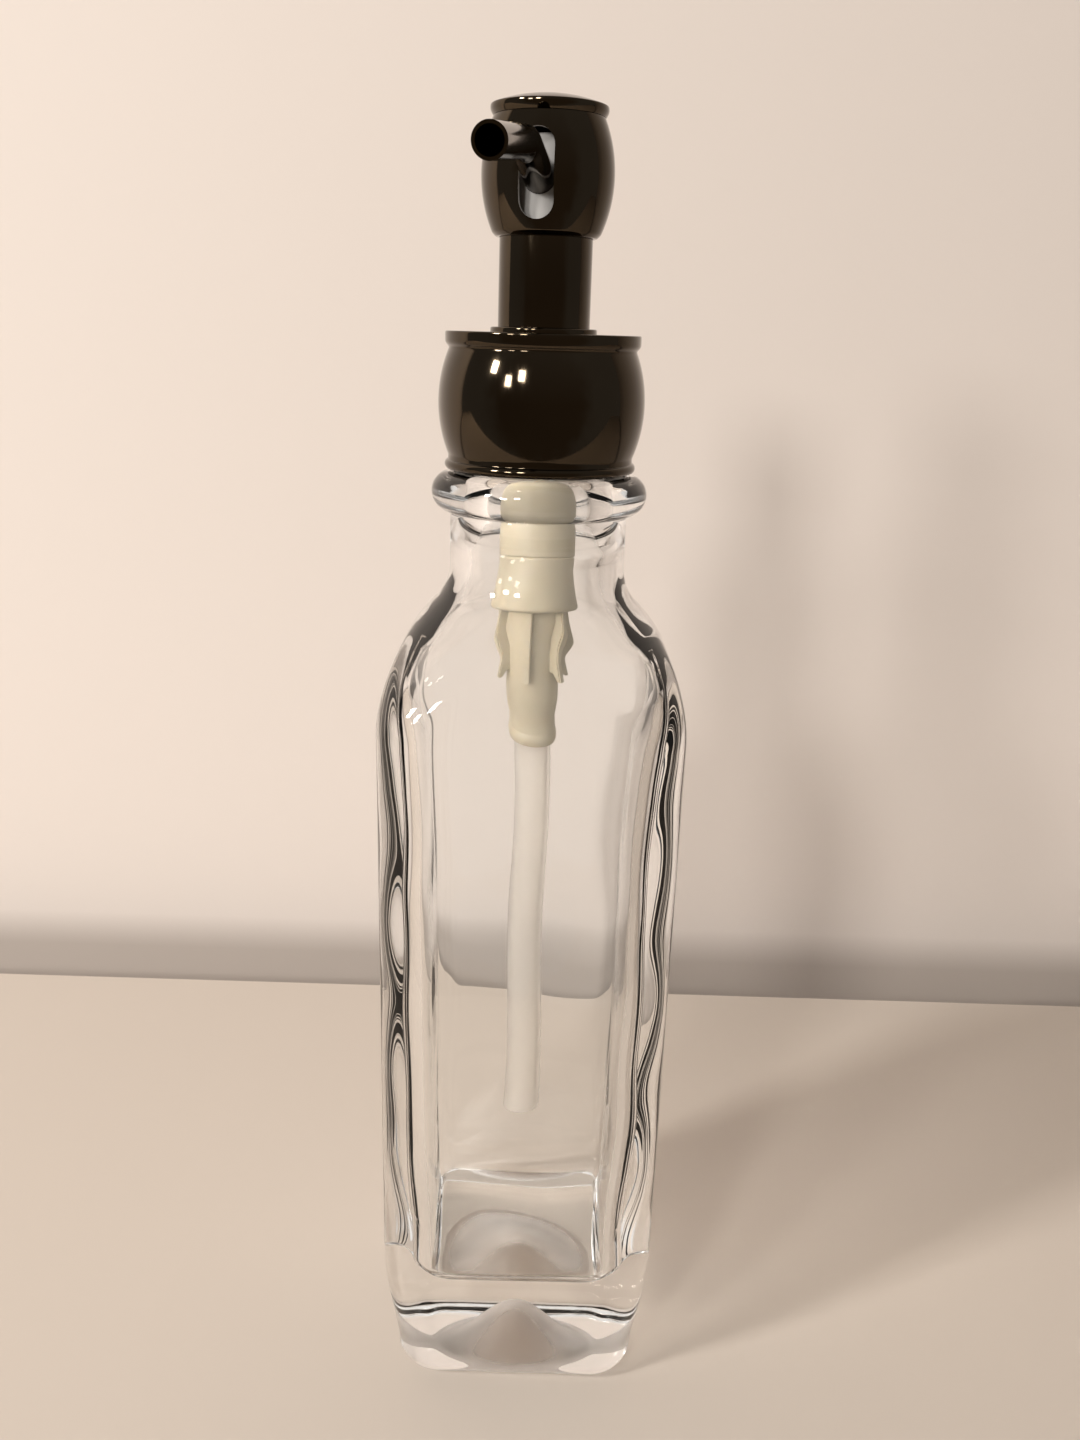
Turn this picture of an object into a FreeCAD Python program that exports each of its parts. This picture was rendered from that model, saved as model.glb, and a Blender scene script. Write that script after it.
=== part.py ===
# Square glass oil bottle with a press-down metal pump, in millimetres.
# The origin is the centre of the base on the table, +Z is up and the front faces -Y.
import FreeCAD, Part
import math
import os
import re
import Sketcher

# Driving sizes: lengths in millimetres, angles in degrees.
SIZES = [
    # Glass bottle
    ("foot_side", 49),
    ("body_side", 55),
    ("column_top_side", 57.6),
    ("corner_radius", 9),
    ("foot_height", 30),
    ("heel_radius", 6),
    ("shoulder_edge_radius", 5),
    ("glass_wall", 6),
    ("inner_corner_radius", 6),
    ("base_thickness", 25),
    ("floor_radius", 5),
    ("punt_radius", 17),
    ("punt_height", 10.5),
    ("shoulder_foot_height", 124.6),
    # above half-way between the shoulder's foot and top
    ("shoulder_middle_height", 1.0),
    ("shoulder_middle_radius", 31.2),
    ("shoulder_top_height", 160.6),
    ("shoulder_top_radius", 20.6),
    # above the shoulder's top
    ("neck_foot_height", 9.0),
    ("neck_radius", 16.6),
    ("neck_curve_depth", 0.8),
    ("neck_wall", 4),
    # above the neck's foot
    ("ring_height", 13.4),
    ("ring_half_height", 3.7),
    ("ring_radius", 20.15),
    ("finish_radius", 12.65),
    ("finish_length", 9.2),
    ("mouth_bore_radius", 9.7),
    ("thread_lift", 1.2),
    ("thread_depth", 1.1),
    ("thread_pitch", 4.2),
    ("thread_crest", 1.0),
    ("thread_root_sink", 0.3),
    ("thread_turns", 1.1),
    ("cap_thread_turns", 0.9),
    # Closure: threaded cap, metal collar and guide ring
    ("collar_lift", 0.4),
    ("collar_height", 24.5),
    ("collar_wall", 0.9),
    ("collar_belly_radius", 19.0),
    ("collar_neck_radius", 17.1),
    ("collar_flange_radius", 17.85),
    ("collar_flange_thickness", 2.0),
    ("collar_bead_radius", 17.75),
    ("collar_bead_height", 1.8),
    ("collar_bead_round", 0.6),
    ("collar_cove", 0.8),
    ("collar_belly_lift", 0.6),
    ("cap_radius", 15.9),
    ("cap_plate", 1.5),
    ("guide_flange_radius", 9.7),
    ("guide_flange_thickness", 0.9),
    ("guide_wall", 0.8),
    ("guide_length", 6.5),
    # Pump body
    ("gasket_thickness", 1.0),
    ("housing_flange_radius", 12.2),
    ("housing_flange_thickness", 1.5),
    ("housing_radius", 7.1),
    ("housing_bore_radius", 5.9),
    ("skirt_length", 36.7),
    ("skirt_foot_radius", 8.4),
    ("skirt_flare_length", 11.0),
    ("skirt_round", 1.2),
    ("groove_depth", 0.35),
    ("groove_width", 0.8),
    ("core_radius", 5.0),
    ("fin_count", 6),
    ("fin_reach", 6.7),
    ("fin_flare", 0.5),
    ("fin_thickness", 1.3),
    ("fin_sink", 0.5),
    ("fin_length", 11.6),
    ("socket_length", 14.6),
    ("socket_waist_radius", 4.45),
    ("socket_bulge", 0.3),
    ("socket_lip_height", 1.6),
    ("socket_lip_flare", 0.2),
    ("socket_depth", 12.6),
    ("cage_floor", 3.4),
    ("cage_radius", 3.0),
    ("cage_lip", 1.0),
    ("cage_lip_catch", 0.1),
    ("valve_duct_radius", 1.4),
    ("chaplet_flange_radius", 8.6),
    ("chaplet_flange_thickness", 1.5),
    ("chaplet_length", 4.4),
    ("tube_radius", 3.5),
    ("tube_wall", 0.9),
    ("tube_reach", 80.7),
    # Valve balls
    ("ball_radius", 2.4),
    ("ball_travel", 1.5),
    # Plunger
    ("stroke", 9.0),
    ("stem_radius", 4.0),
    ("stem_chamber_radius", 2.9),
    ("stem_duct_radius", 1.5),
    ("piston_length", 7.6),
    ("piston_lip", 1.2),
    ("piston_waist", 0.45),
    ("spring_radius", 4.6),
    ("spring_wire", 1.0),
    ("spring_turns", 7),
    # Head
    ("sleeve_radius", 8.35),
    ("sleeve_wall", 0.6),
    ("sleeve_show", 16.2),
    ("head_height", 19.7),
    ("head_foot_radius", 9.7),
    ("head_belly_radius", 11.75),
    ("head_belly_height", 11.4),
    ("head_top_radius", 9.8),
    ("head_wall", 0.9),
    ("head_bevel", 0.7),
    ("rim_radius", 10.35),
    ("rim_height", 1.8),
    ("dome_height", 1.9),
    ("cap_spigot_depth", 2.2),
    ("actuator_radius", 8.4),
    ("actuator_height", 15.0),
    ("actuator_spigot", 6.3),
    ("slot_foot", 2.4),
    ("slot_height", 14.6),
    ("spout_radius", 2.75),
    ("spout_bore_radius", 2.2),
    ("spout_root_reach", 1.5),
    ("spout_root_height", 7.6),
    ("spout_bend_reach", 22.0),
    ("spout_bend_height", 13.0),
    ("spout_bend_radius", 9.0),
    ("spout_mouth_reach", 47.0),
    ("spout_mouth_height", 9.9),
    ("spout_azimuth", -10),
    # Fits
    ("seat_gap", 0.05),
    ("running_gap", 0.15),
    ("free_gap", 0.3),
    ("cut_margin", 1.3),
    ("edge_break", 0.3),
]

doc = FreeCAD.newDocument("oil_bottle")
sheet = doc.addObject("Spreadsheet::Sheet", "sizes")
for row, (alias, number) in enumerate(SIZES, start=1):
    sheet.set(f"A{row}", alias)
    sheet.set(f"B{row}", str(number))
    sheet.setAlias(f"B{row}", alias)
doc.recompute()

# How far a quarter arc's middle lies inside its square corner, as a share of the radius.
ARC_INSET = "(1 - sqrt(0.5))"
# Rise of a thread's flank for each millimetre of its depth.
THREAD_FLANK = 0.5

ALIASES = {alias for alias, number in SIZES}
PARTS = []


def bound(expression):
    """The expression with every size name pointed at its cell."""
    return re.sub(r"[a-z_]+", lambda word: "sizes." + word[0] if word[0] in ALIASES else word[0], expression)


def value(expression):
    """The number that an expression of sizes gives now."""
    return float(sheet.evalExpression(bound(expression)))


def plane(body, role):
    """One of the body's own origin planes or axes."""
    return next(item for item in body.Origin.OriginFeatures if item.Role == role)


def new_body(name):
    """A body that becomes the part of that name."""
    body = doc.addObject("PartDesign::Body", name)
    body.Label = name
    return body


def new_sketch(body, name, role):
    """An empty sketch on one of the body's origin planes."""
    sketch = body.newObject("Sketcher::SketchObject", name)
    sketch.AttachmentSupport = [(plane(body, role), "")]
    sketch.MapMode = "FlatFace"
    return sketch


def pin(sketch, geometry, position, across, up):
    """Bind one sketch point to two expressions."""
    for kind, expression in (("DistanceX", across), ("DistanceY", up)):
        index = sketch.addConstraint(Sketcher.Constraint(kind, -1, 1, geometry, position, value(expression)))
        sketch.setExpression(f"Constraints[{index}]", bound(expression))


def ball_middle(edge_point, pole):
    """The middle of an arc about the upright axis, from a point beside the axis to a pole on it."""
    rise = pole.y - edge_point.y
    radius = (edge_point.x ** 2 + rise ** 2) / (2 * rise)
    half_turn = math.atan2(edge_point.x, radius - rise) / 2
    return FreeCAD.Vector(radius * math.sin(half_turn), pole.y - radius * (1 - math.cos(half_turn)), 0)


def draw(sketch, points, closed=True):
    """Lines through the points. A point with four entries ends an arc that passes its second pair,
    and one with the word ball ends an arc about the sketch's upright axis."""
    corners = [FreeCAD.Vector(value(point[0]), value(point[1]), 0) for point in points]
    count = len(points) if closed else len(points) - 1
    starts = []
    ends = []
    for number in range(count):
        target = points[(number + 1) % len(points)]
        here = corners[number]
        there = corners[(number + 1) % len(points)]
        if len(target) == 2:
            edge = sketch.addGeometry(Part.LineSegment(here, there))
            starts.append((edge, 1))
            ends.append((edge, 2))
            continue
        through = ball_middle(here, there) if target[2] == "ball" else FreeCAD.Vector(*map(value, target[2:]))
        edge = sketch.addGeometry(Part.Arc(here, through, there))
        turn = (through - here).cross(there - through).z
        starts.append((edge, 1 if turn > 0 else 2))
        ends.append((edge, 2 if turn > 0 else 1))
        if target[2] == "ball":
            sketch.addConstraint(Sketcher.Constraint("PointOnObject", edge, 3, -2))
            continue
        marker = sketch.addGeometry(Part.Point(through), True)
        pin(sketch, marker, 1, target[2], target[3])
        sketch.addConstraint(Sketcher.Constraint("PointOnObject", marker, 1, edge))
    for number in range(count):
        pin(sketch, *starts[number], points[number][0], points[number][1])
        if closed or number + 1 < count:
            following = starts[(number + 1) % count]
            sketch.addConstraint(Sketcher.Constraint("Coincident", *ends[number], *following))
        else:
            pin(sketch, *ends[number], points[-1][0], points[-1][1])


def revolve(body, name, points, feature="PartDesign::Revolution"):
    """Turn an outline of radius and height about the Z axis, adding or cutting."""
    sketch = new_sketch(body, name + "_outline", "XZ_Plane")
    draw(sketch, points)
    turned = body.newObject(feature, name)
    turned.Profile = sketch
    turned.ReferenceAxis = (sketch, ["V_Axis"])
    turned.Angle = 360
    return turned


def turned_part(name, points):
    """A part that is one turned outline."""
    body = new_body(name)
    revolve(body, name + "_turning", points)
    PARTS.append(body)
    return body


def rounded_square(half, radius):
    """A square outline with arcs at its corners."""
    flat = f"({half}) - ({radius})"
    arc = f"({half}) - ({radius}) * {ARC_INSET}"
    outline = []
    for across, up in ((1, 1), (-1, 1), (-1, -1), (1, -1)):
        along_side = (f"{across} * ({half})", f"{up} * ({flat})")
        along_top = (f"{across} * ({flat})", f"{up} * ({half})")
        first, last = (along_side, along_top) if across == up else (along_top, along_side)
        outline.append(first)
        outline.append(last + (f"{across} * ({arc})", f"{up} * ({arc})"))
    return outline


def square_column(body, name, sections):
    """A column with flat sides through rounded squares: half side, corner radius and height of each."""
    sketches = []
    for number, (half, radius, height) in enumerate(sections):
        sketch = new_sketch(body, f"{name}_section_{number}", "XY_Plane")
        sketch.setExpression("AttachmentOffset.Base.z", bound(height))
        draw(sketch, rounded_square(half, radius))
        sketches.append(sketch)
    column = body.newObject("PartDesign::AdditiveLoft", name)
    column.Profile = sketches[0]
    column.Sections = sketches[1:]
    column.Ruled = True
    return column


def turn_down(body, name, points):
    """Cut a turned outline away from the body and make sure that it cut."""
    doc.recompute()
    before = body.Shape.Volume
    cut = revolve(body, name, points, "PartDesign::Groove")
    doc.recompute()
    if not 0 < body.Shape.Volume < before - 1:
        raise RuntimeError(name + " cut nothing")
    return cut


def round_edges(body, name, radius, wanted):
    """Fillet the body's edges whose middle point and shape pass the test."""
    doc.recompute()
    base = body.Tip
    names = [f"Edge{n}" for n, edge in enumerate(base.Shape.Edges, start=1) if wanted(edge)]
    fillet = body.newObject("PartDesign::Fillet", name)
    fillet.Base = (base, names)
    fillet.setExpression("Radius", bound(radius))
    doc.recompute()
    return fillet


def middle(edge):
    """The point half-way along an edge."""
    return edge.valueAt((edge.FirstParameter + edge.LastParameter) / 2)


def thread(body, name, root, crest, foot, turns):
    """A helical ridge between two radii, with its lower corner at the foot height."""
    sketch = new_sketch(body, name + "_outline", "XZ_Plane")
    slope = f"abs(({crest}) - ({root})) * {THREAD_FLANK}"
    draw(sketch, [
        (root, foot),
        (crest, f"{foot} + {slope}"),
        (crest, f"{foot} + {slope} + thread_crest"),
        (root, f"{foot} + 2 * {slope} + thread_crest"),
    ])
    helix = body.newObject("PartDesign::AdditiveHelix", name)
    helix.Profile = sketch
    helix.ReferenceAxis = (sketch, ["V_Axis"])
    helix.Mode = 1
    helix.setExpression("Pitch", bound("thread_pitch"))
    helix.setExpression("Turns", bound(turns))
    return helix


# Outward direction of the shoulder's slope, across and up, at its top and half-way down.
SHOULDER_TOP_NORMAL = (0.79, 0.61)
SHOULDER_MIDDLE_NORMAL = (0.92, 0.4)

# Heights that several pieces share, worked out from the driving sizes.
SHOULDER_MIDDLE = "((shoulder_foot_height + shoulder_top_height) / 2 + shoulder_middle_height)"
NECK_FOOT = "(shoulder_top_height + neck_foot_height)"
RING_MIDDLE = f"({NECK_FOOT} + ring_height)"
RING_TOP = f"({RING_MIDDLE} + ring_half_height)"
RING_FOOT = f"({RING_MIDDLE} - ring_half_height)"
FINISH_TOP = f"({RING_TOP} + finish_length)"
GASKET_TOP = f"({FINISH_TOP} + gasket_thickness)"
FLANGE_TOP = f"({GASKET_TOP} + housing_flange_thickness)"
PLATE_FOOT = f"({FLANGE_TOP} + seat_gap)"
PLATE_TOP = f"({PLATE_FOOT} + cap_plate)"
CHAPLET_TOP = f"({FLANGE_TOP} + chaplet_flange_thickness)"
CHAPLET_FOOT = f"({FLANGE_TOP} - chaplet_length)"
COLLAR_FOOT = f"({RING_TOP} + collar_lift)"
COLLAR_TOP = f"({COLLAR_FOOT} + collar_height)"
SKIRT_FOOT = f"({GASKET_TOP} - skirt_length)"
FIN_FOOT = f"({SKIRT_FOOT} - fin_length)"
SOCKET_FOOT = f"({FIN_FOOT} - socket_length)"
SOCKET_TOP = f"({SOCKET_FOOT} + socket_depth)"
TUBE_FOOT = f"({SOCKET_FOOT} - tube_reach)"
BORE_FLOOR = f"({SKIRT_FOOT} + cage_floor)"
SEAT_LEAN = "sqrt(0.5)"
LIP_FOOT = f"({BORE_FLOOR} - cage_lip)"
INLET_BALL = f"({LIP_FOOT} - free_gap - ball_travel - ball_radius)"
INLET_SEAT = f"({INLET_BALL} - seat_gap - 2 * {SEAT_LEAN} * ball_radius + valve_duct_radius)"
PISTON_TOP = f"({CHAPLET_FOOT} - free_gap)"
PISTON_FOOT = f"({PISTON_TOP} - piston_length)"
SLEEVE_FOOT = f"(max({PLATE_TOP}; {CHAPLET_TOP}) + 2 * free_gap + stroke)"
HEAD_FOOT = f"({COLLAR_TOP} + sleeve_show)"
SLEEVE_TOP = f"({HEAD_FOOT} + head_wall + free_gap)"
ACTUATOR_FOOT = f"({SLEEVE_TOP} - actuator_spigot)"
STEM_TOP = f"({SLEEVE_TOP} - seat_gap)"
OUTLET_BALL = f"({STEM_TOP} - free_gap - ball_travel - ball_radius)"
OUTLET_SEAT = f"({OUTLET_BALL} - seat_gap - 2 * {SEAT_LEAN} * ball_radius + stem_duct_radius)"
HEAD_TOP = f"({HEAD_FOOT} + head_height)"
SPOUT_ROOT = f"({HEAD_FOOT} + spout_root_height)"
SPOUT_BEND = f"({HEAD_FOOT} + spout_bend_height)"
SPOUT_MOUTH = f"({HEAD_FOOT} + spout_mouth_height)"


def shoulder_edges(low, high, reach):
    """A test for the arched edges where the flat sides meet the domed shoulder."""
    def wanted(edge):
        point = middle(edge)
        return low < point.z < high and math.hypot(point.x, point.y) > reach and not straight(edge)
    return wanted


def straight(edge):
    """True for a straight edge, such as one along a corner."""
    return edge.Curve.TypeId == "Part::GeomLine"


def level_edges(height):
    """A test for the edges that lie at one height."""
    def wanted(edge):
        ends = [edge.valueAt(edge.FirstParameter), edge.valueAt(edge.LastParameter), middle(edge)]
        return all(abs(point.z - height) < 1e-6 for point in ends)
    return wanted


def glass_bottle():
    """Square bottle: a tapering column turned down to the shoulder and neck, with the cavity cut out."""
    half = "(column_top_side / 2)"
    reach = f"(({half} - corner_radius) * sqrt(2) + corner_radius + cut_margin)"
    far = f"({reach} + 2 * cut_margin)"
    outside = new_body("bottle_outside")
    square_column(outside, "bottle_column", [
        ("foot_side / 2", "corner_radius", "0"),
        ("body_side / 2", "corner_radius", "foot_height"),
        (half, "corner_radius", FINISH_TOP),
    ])
    turn_down(outside, "bottle_turning", [
        (reach, "shoulder_foot_height"),
        ("shoulder_top_radius", "shoulder_top_height", "shoulder_middle_radius", SHOULDER_MIDDLE),
        ("neck_radius", NECK_FOOT, "(shoulder_top_radius + neck_radius) / 2 - neck_curve_depth",
         f"(shoulder_top_height + {NECK_FOOT}) / 2"),
        ("neck_radius", RING_FOOT),
        ("neck_radius", RING_TOP, "ring_radius", RING_MIDDLE),
        ("finish_radius", RING_TOP),
        ("finish_radius", f"{FINISH_TOP} + cut_margin"),
        (far, f"{FINISH_TOP} + cut_margin"),
        (far, "shoulder_foot_height"),
    ])
    low = value("shoulder_foot_height")
    high = value("shoulder_top_height")
    sides = shoulder_edges(low, high, value("body_side / 2"))
    round_edges(outside, "shoulder_rounding", "shoulder_edge_radius", sides)
    round_edges(outside, "heel_rounding", "heel_radius", level_edges(0))
    turn_down(outside, "punt", [
        ("0", "0"),
        ("punt_radius", "0"),
        ("0", "punt_height", "ball"),
    ])
    thread(outside, "glass_thread", "finish_radius - thread_root_sink", "finish_radius + thread_depth",
           f"{RING_TOP} + thread_lift", "thread_turns")

    # The cavity follows the outside, one wall further in along the slope of the shoulder.
    inner_half = f"({half} - glass_wall)"
    inside = new_body("bottle_cavity")
    square_column(inside, "cavity_column", [
        ("body_side / 2 - glass_wall", "inner_corner_radius", "base_thickness"),
        (inner_half, "inner_corner_radius", f"{FINISH_TOP} + cut_margin"),
    ])
    top_across, top_down = SHOULDER_TOP_NORMAL
    middle_across, middle_down = SHOULDER_MIDDLE_NORMAL
    turn_down(inside, "cavity_turning", [
        (f"{reach} - glass_wall", "shoulder_foot_height"),
        (f"shoulder_top_radius - {top_across} * glass_wall", f"shoulder_top_height - {top_down} * glass_wall",
         f"shoulder_middle_radius - {middle_across} * glass_wall",
         f"{SHOULDER_MIDDLE} - {middle_down} * glass_wall"),
        ("neck_radius - neck_wall", NECK_FOOT),
        ("mouth_bore_radius", RING_FOOT),
        ("mouth_bore_radius", f"{FINISH_TOP} + 2 * cut_margin"),
        (far, f"{FINISH_TOP} + 2 * cut_margin"),
        (far, "shoulder_foot_height"),
    ])
    inner_sides = shoulder_edges(low, high, value("body_side / 2 - glass_wall"))
    round_edges(inside, "cavity_shoulder", "shoulder_edge_radius", inner_sides)
    round_edges(inside, "cavity_floor", "floor_radius", level_edges(value("base_thickness")))

    bottle = doc.addObject("Part::Cut", "glass_bottle")
    bottle.Label = "glass_bottle"
    bottle.Base = outside
    bottle.Tool = inside
    PARTS.append(bottle)


def closure():
    """Threaded cap, metal collar and the guide ring in the collar's top."""
    hole = "(chaplet_flange_radius + free_gap)"
    bore = "(finish_radius + thread_depth + free_gap)"
    foot = f"({COLLAR_FOOT} + free_gap)"
    cap = turned_part("closure_cap", [
        (bore, foot),
        ("cap_radius", foot),
        ("cap_radius", PLATE_TOP),
        (hole, PLATE_TOP),
        (hole, PLATE_FOOT),
        (bore, PLATE_FOOT),
    ])
    thread(cap, "cap_thread", f"{bore} + thread_root_sink", "finish_radius + free_gap",
           f"{RING_TOP} + thread_lift + thread_pitch / 2", "cap_thread_turns")

    seat = "(cap_radius + seat_gap)"
    neck_foot = f"({COLLAR_FOOT} + collar_bead_height + collar_cove)"
    neck_top = f"({COLLAR_TOP} - collar_flange_thickness - collar_cove)"
    belly = f"({neck_foot} + {neck_top}) / 2 + collar_belly_lift"
    guide_seat = "(sleeve_radius + running_gap + guide_wall + seat_gap)"
    turned_part("collar_shell", [
        (seat, COLLAR_FOOT),
        ("collar_bead_radius - collar_bead_round", COLLAR_FOOT),
        ("collar_bead_radius - collar_bead_round", f"{COLLAR_FOOT} + collar_bead_height",
         "collar_bead_radius", f"{COLLAR_FOOT} + collar_bead_height / 2"),
        ("collar_neck_radius", neck_foot),
        ("collar_neck_radius", neck_top, "collar_belly_radius", belly),
        ("collar_flange_radius", f"{COLLAR_TOP} - collar_flange_thickness"),
        ("collar_flange_radius", f"{COLLAR_TOP} - edge_break"),
        ("collar_flange_radius - edge_break", COLLAR_TOP),
        (guide_seat, COLLAR_TOP),
        (guide_seat, f"{COLLAR_TOP} - collar_wall"),
        (seat, f"{COLLAR_TOP} - collar_wall"),
        (seat, neck_top),
        (seat, neck_foot, "collar_belly_radius - collar_wall", belly),
    ])
    guide_bore = "(sleeve_radius + running_gap)"
    guide_body = f"({guide_bore} + guide_wall)"
    turned_part("guide_ring", [
        (guide_bore, f"{COLLAR_TOP} - guide_length"),
        (guide_body, f"{COLLAR_TOP} - guide_length"),
        (guide_body, COLLAR_TOP),
        ("guide_flange_radius", COLLAR_TOP),
        ("guide_flange_radius", f"{COLLAR_TOP} + guide_flange_thickness"),
        (guide_bore, f"{COLLAR_TOP} + guide_flange_thickness"),
    ])


def pump_body():
    """Cream housing with its fins, the chaplet, the gasket and the dip tube."""
    turned_part("neck_gasket", [
        ("housing_radius + seat_gap", FINISH_TOP),
        ("housing_flange_radius", FINISH_TOP),
        ("housing_flange_radius", GASKET_TOP),
        ("housing_radius + seat_gap", GASKET_TOP),
    ])
    flare_top = f"({SKIRT_FOOT} + skirt_flare_length)"
    groove_top = f"({flare_top} + 2 * groove_width)"
    socket_seat = "(tube_radius + seat_gap)"
    housing = turned_part("pump_housing", [
        ("housing_bore_radius", FLANGE_TOP),
        ("housing_flange_radius", FLANGE_TOP),
        ("housing_flange_radius", GASKET_TOP),
        ("housing_radius", GASKET_TOP),
        ("housing_radius", groove_top),
        ("housing_radius - groove_depth", f"{groove_top} - groove_width / 2"),
        ("housing_radius", f"{groove_top} - groove_width"),
        ("housing_radius", flare_top),
        ("skirt_foot_radius", f"{SKIRT_FOOT} + skirt_round"),
        ("skirt_foot_radius - skirt_round", SKIRT_FOOT,
         f"skirt_foot_radius - skirt_round * {ARC_INSET}", f"{SKIRT_FOOT} + skirt_round * {ARC_INSET}"),
        ("core_radius", SKIRT_FOOT),
        ("core_radius", FIN_FOOT),
        ("socket_waist_radius", f"{SOCKET_FOOT} + 2 * socket_lip_height",
         "(core_radius + socket_waist_radius) / 2 + socket_bulge", f"({FIN_FOOT} + {SOCKET_FOOT}) / 2"),
        ("socket_waist_radius", f"{SOCKET_FOOT} + socket_lip_height"),
        ("socket_waist_radius", SOCKET_FOOT,
         "socket_waist_radius + socket_lip_flare", f"{SOCKET_FOOT} + socket_lip_height / 2"),
        (socket_seat, SOCKET_FOOT),
        (socket_seat, SOCKET_TOP),
        ("valve_duct_radius", SOCKET_TOP),
        ("valve_duct_radius", INLET_SEAT),
        ("cage_radius", f"{INLET_SEAT} + cage_radius - valve_duct_radius"),
        ("cage_radius", LIP_FOOT),
        ("ball_radius - cage_lip_catch", LIP_FOOT),
        ("ball_radius - cage_lip_catch", BORE_FLOOR),
        ("housing_bore_radius", BORE_FLOOR),
    ])
    sketch = new_sketch(housing, "fin_outline", "XZ_Plane")
    draw(sketch, [
        ("core_radius - fin_sink", FIN_FOOT),
        ("fin_reach + fin_flare", f"{FIN_FOOT} - fin_flare"),
        ("fin_reach", f"{FIN_FOOT} + 3 * fin_flare"),
        ("fin_reach", f"{SKIRT_FOOT} + fin_sink"),
        ("core_radius - fin_sink", f"{SKIRT_FOOT} + fin_sink"),
    ])
    fin = housing.newObject("PartDesign::Pad", "fin")
    fin.Profile = sketch
    fin.Midplane = True
    fin.setExpression("Length", bound("fin_thickness"))
    fins = housing.newObject("PartDesign::PolarPattern", "fins")
    fins.Originals = [fin]
    fins.Axis = (sketch, ["V_Axis"])
    fins.Angle = 360
    fins.setExpression("Occurrences", bound("fin_count"))
    housing.Tip = fins

    turned_part("chaplet", [
        ("stem_radius + running_gap", CHAPLET_FOOT),
        ("housing_bore_radius - seat_gap", CHAPLET_FOOT),
        ("housing_bore_radius - seat_gap", FLANGE_TOP),
        ("chaplet_flange_radius", FLANGE_TOP),
        ("chaplet_flange_radius", CHAPLET_TOP),
        ("stem_radius + running_gap", CHAPLET_TOP),
    ])
    turned_part("dip_tube", [
        ("tube_radius - tube_wall", TUBE_FOOT),
        ("tube_radius", TUBE_FOOT),
        ("tube_radius", f"{SOCKET_TOP} - seat_gap"),
        ("tube_radius - tube_wall", f"{SOCKET_TOP} - seat_gap"),
    ])


def valve_ball(name, centre):
    """A steel valve ball."""
    turned_part(name, [
        ("0", f"{centre} - ball_radius"),
        ("0", f"{centre} + ball_radius", "ball_radius", centre),
    ])


def plunger():
    """Hollow stem with the outlet valve's seat, and the piston on its foot."""
    turned_part("plunger_stem", [
        ("stem_duct_radius", PISTON_FOOT),
        ("stem_radius", PISTON_FOOT),
        ("stem_radius", STEM_TOP),
        ("stem_chamber_radius", STEM_TOP),
        ("stem_chamber_radius", f"{OUTLET_SEAT} + stem_chamber_radius - stem_duct_radius"),
        ("stem_duct_radius", OUTLET_SEAT),
    ])
    lip = "(housing_bore_radius - seat_gap)"
    waist = f"({lip} - piston_waist)"
    turned_part("piston", [
        ("stem_radius + seat_gap", PISTON_FOOT),
        (lip, PISTON_FOOT),
        (lip, f"{PISTON_FOOT} + piston_lip"),
        (waist, f"{PISTON_FOOT} + 2 * piston_lip"),
        (waist, f"{PISTON_TOP} - 2 * piston_lip"),
        (lip, f"{PISTON_TOP} - piston_lip"),
        (lip, PISTON_TOP),
        ("stem_radius + seat_gap", PISTON_TOP),
    ])


def arc_between(start, corner, end):
    """The arc that touches both lines of an even corner at its two ends."""
    half_turn = (corner - start).getAngle(end - corner) / 2
    chord_middle = (start + end) / 2
    radius = (corner - start).Length / math.tan(half_turn)
    sagitta = radius * (1 - math.cos(half_turn))
    through = chord_middle + (corner - chord_middle).normalize() * sagitta
    return Part.Arc(start, through, end).toShape()


def biarc(start, start_way, end, end_way):
    """Two arcs that join two points and leave and reach them along the given directions."""
    chord = end - start
    ways = start_way + end_way
    spread = 4 - ways.dot(ways)
    along = chord.dot(ways)
    reach = (math.sqrt(along ** 2 + spread * chord.dot(chord)) - along) / spread
    first_corner = start + start_way * reach
    last_corner = end - end_way * reach
    join = (first_corner + last_corner) / 2
    return [arc_between(start, first_corner, join), arc_between(join, last_corner, end)]


def return_spring():
    """One unbroken steel coil between the housing's floor and the piston."""
    gap = "(spring_wire / 2 + seat_gap)"
    low = value(f"{BORE_FLOOR} + {gap}")
    rise = value(f"{PISTON_FOOT} - {gap}") - low
    radius = value("spring_radius")
    quarters = int(4 * value("spring_turns"))
    climb = rise / quarters

    def point(number):
        angle = number * math.pi / 2
        return FreeCAD.Vector(radius * math.cos(angle), radius * math.sin(angle), low + number * climb)

    def way(number):
        angle = number * math.pi / 2
        quarter_length = radius * math.pi / 2
        return FreeCAD.Vector(-math.sin(angle), math.cos(angle), climb / quarter_length).normalize()

    route = []
    for number in range(quarters):
        route.extend(biarc(point(number), way(number), point(number + 1), way(number + 1)))
    ring = Part.Wire([Part.Circle(point(0), way(0), value("spring_wire / 2")).toShape()])
    coil = doc.addObject("Part::Feature", "return_spring")
    coil.Label = "return_spring"
    coil.Shape = Part.Wire(route).makePipeShell([ring], True, False)
    PARTS.append(coil)
    turn_gap = (point(4) - point(0)).Length - value("spring_wire")
    print("spring gap between turns", round(turn_gap, 2))


def turn_head(body):
    """Point a head piece the way the spout points."""
    body.setExpression("Placement.Rotation.Angle", bound("spout_azimuth"))


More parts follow.
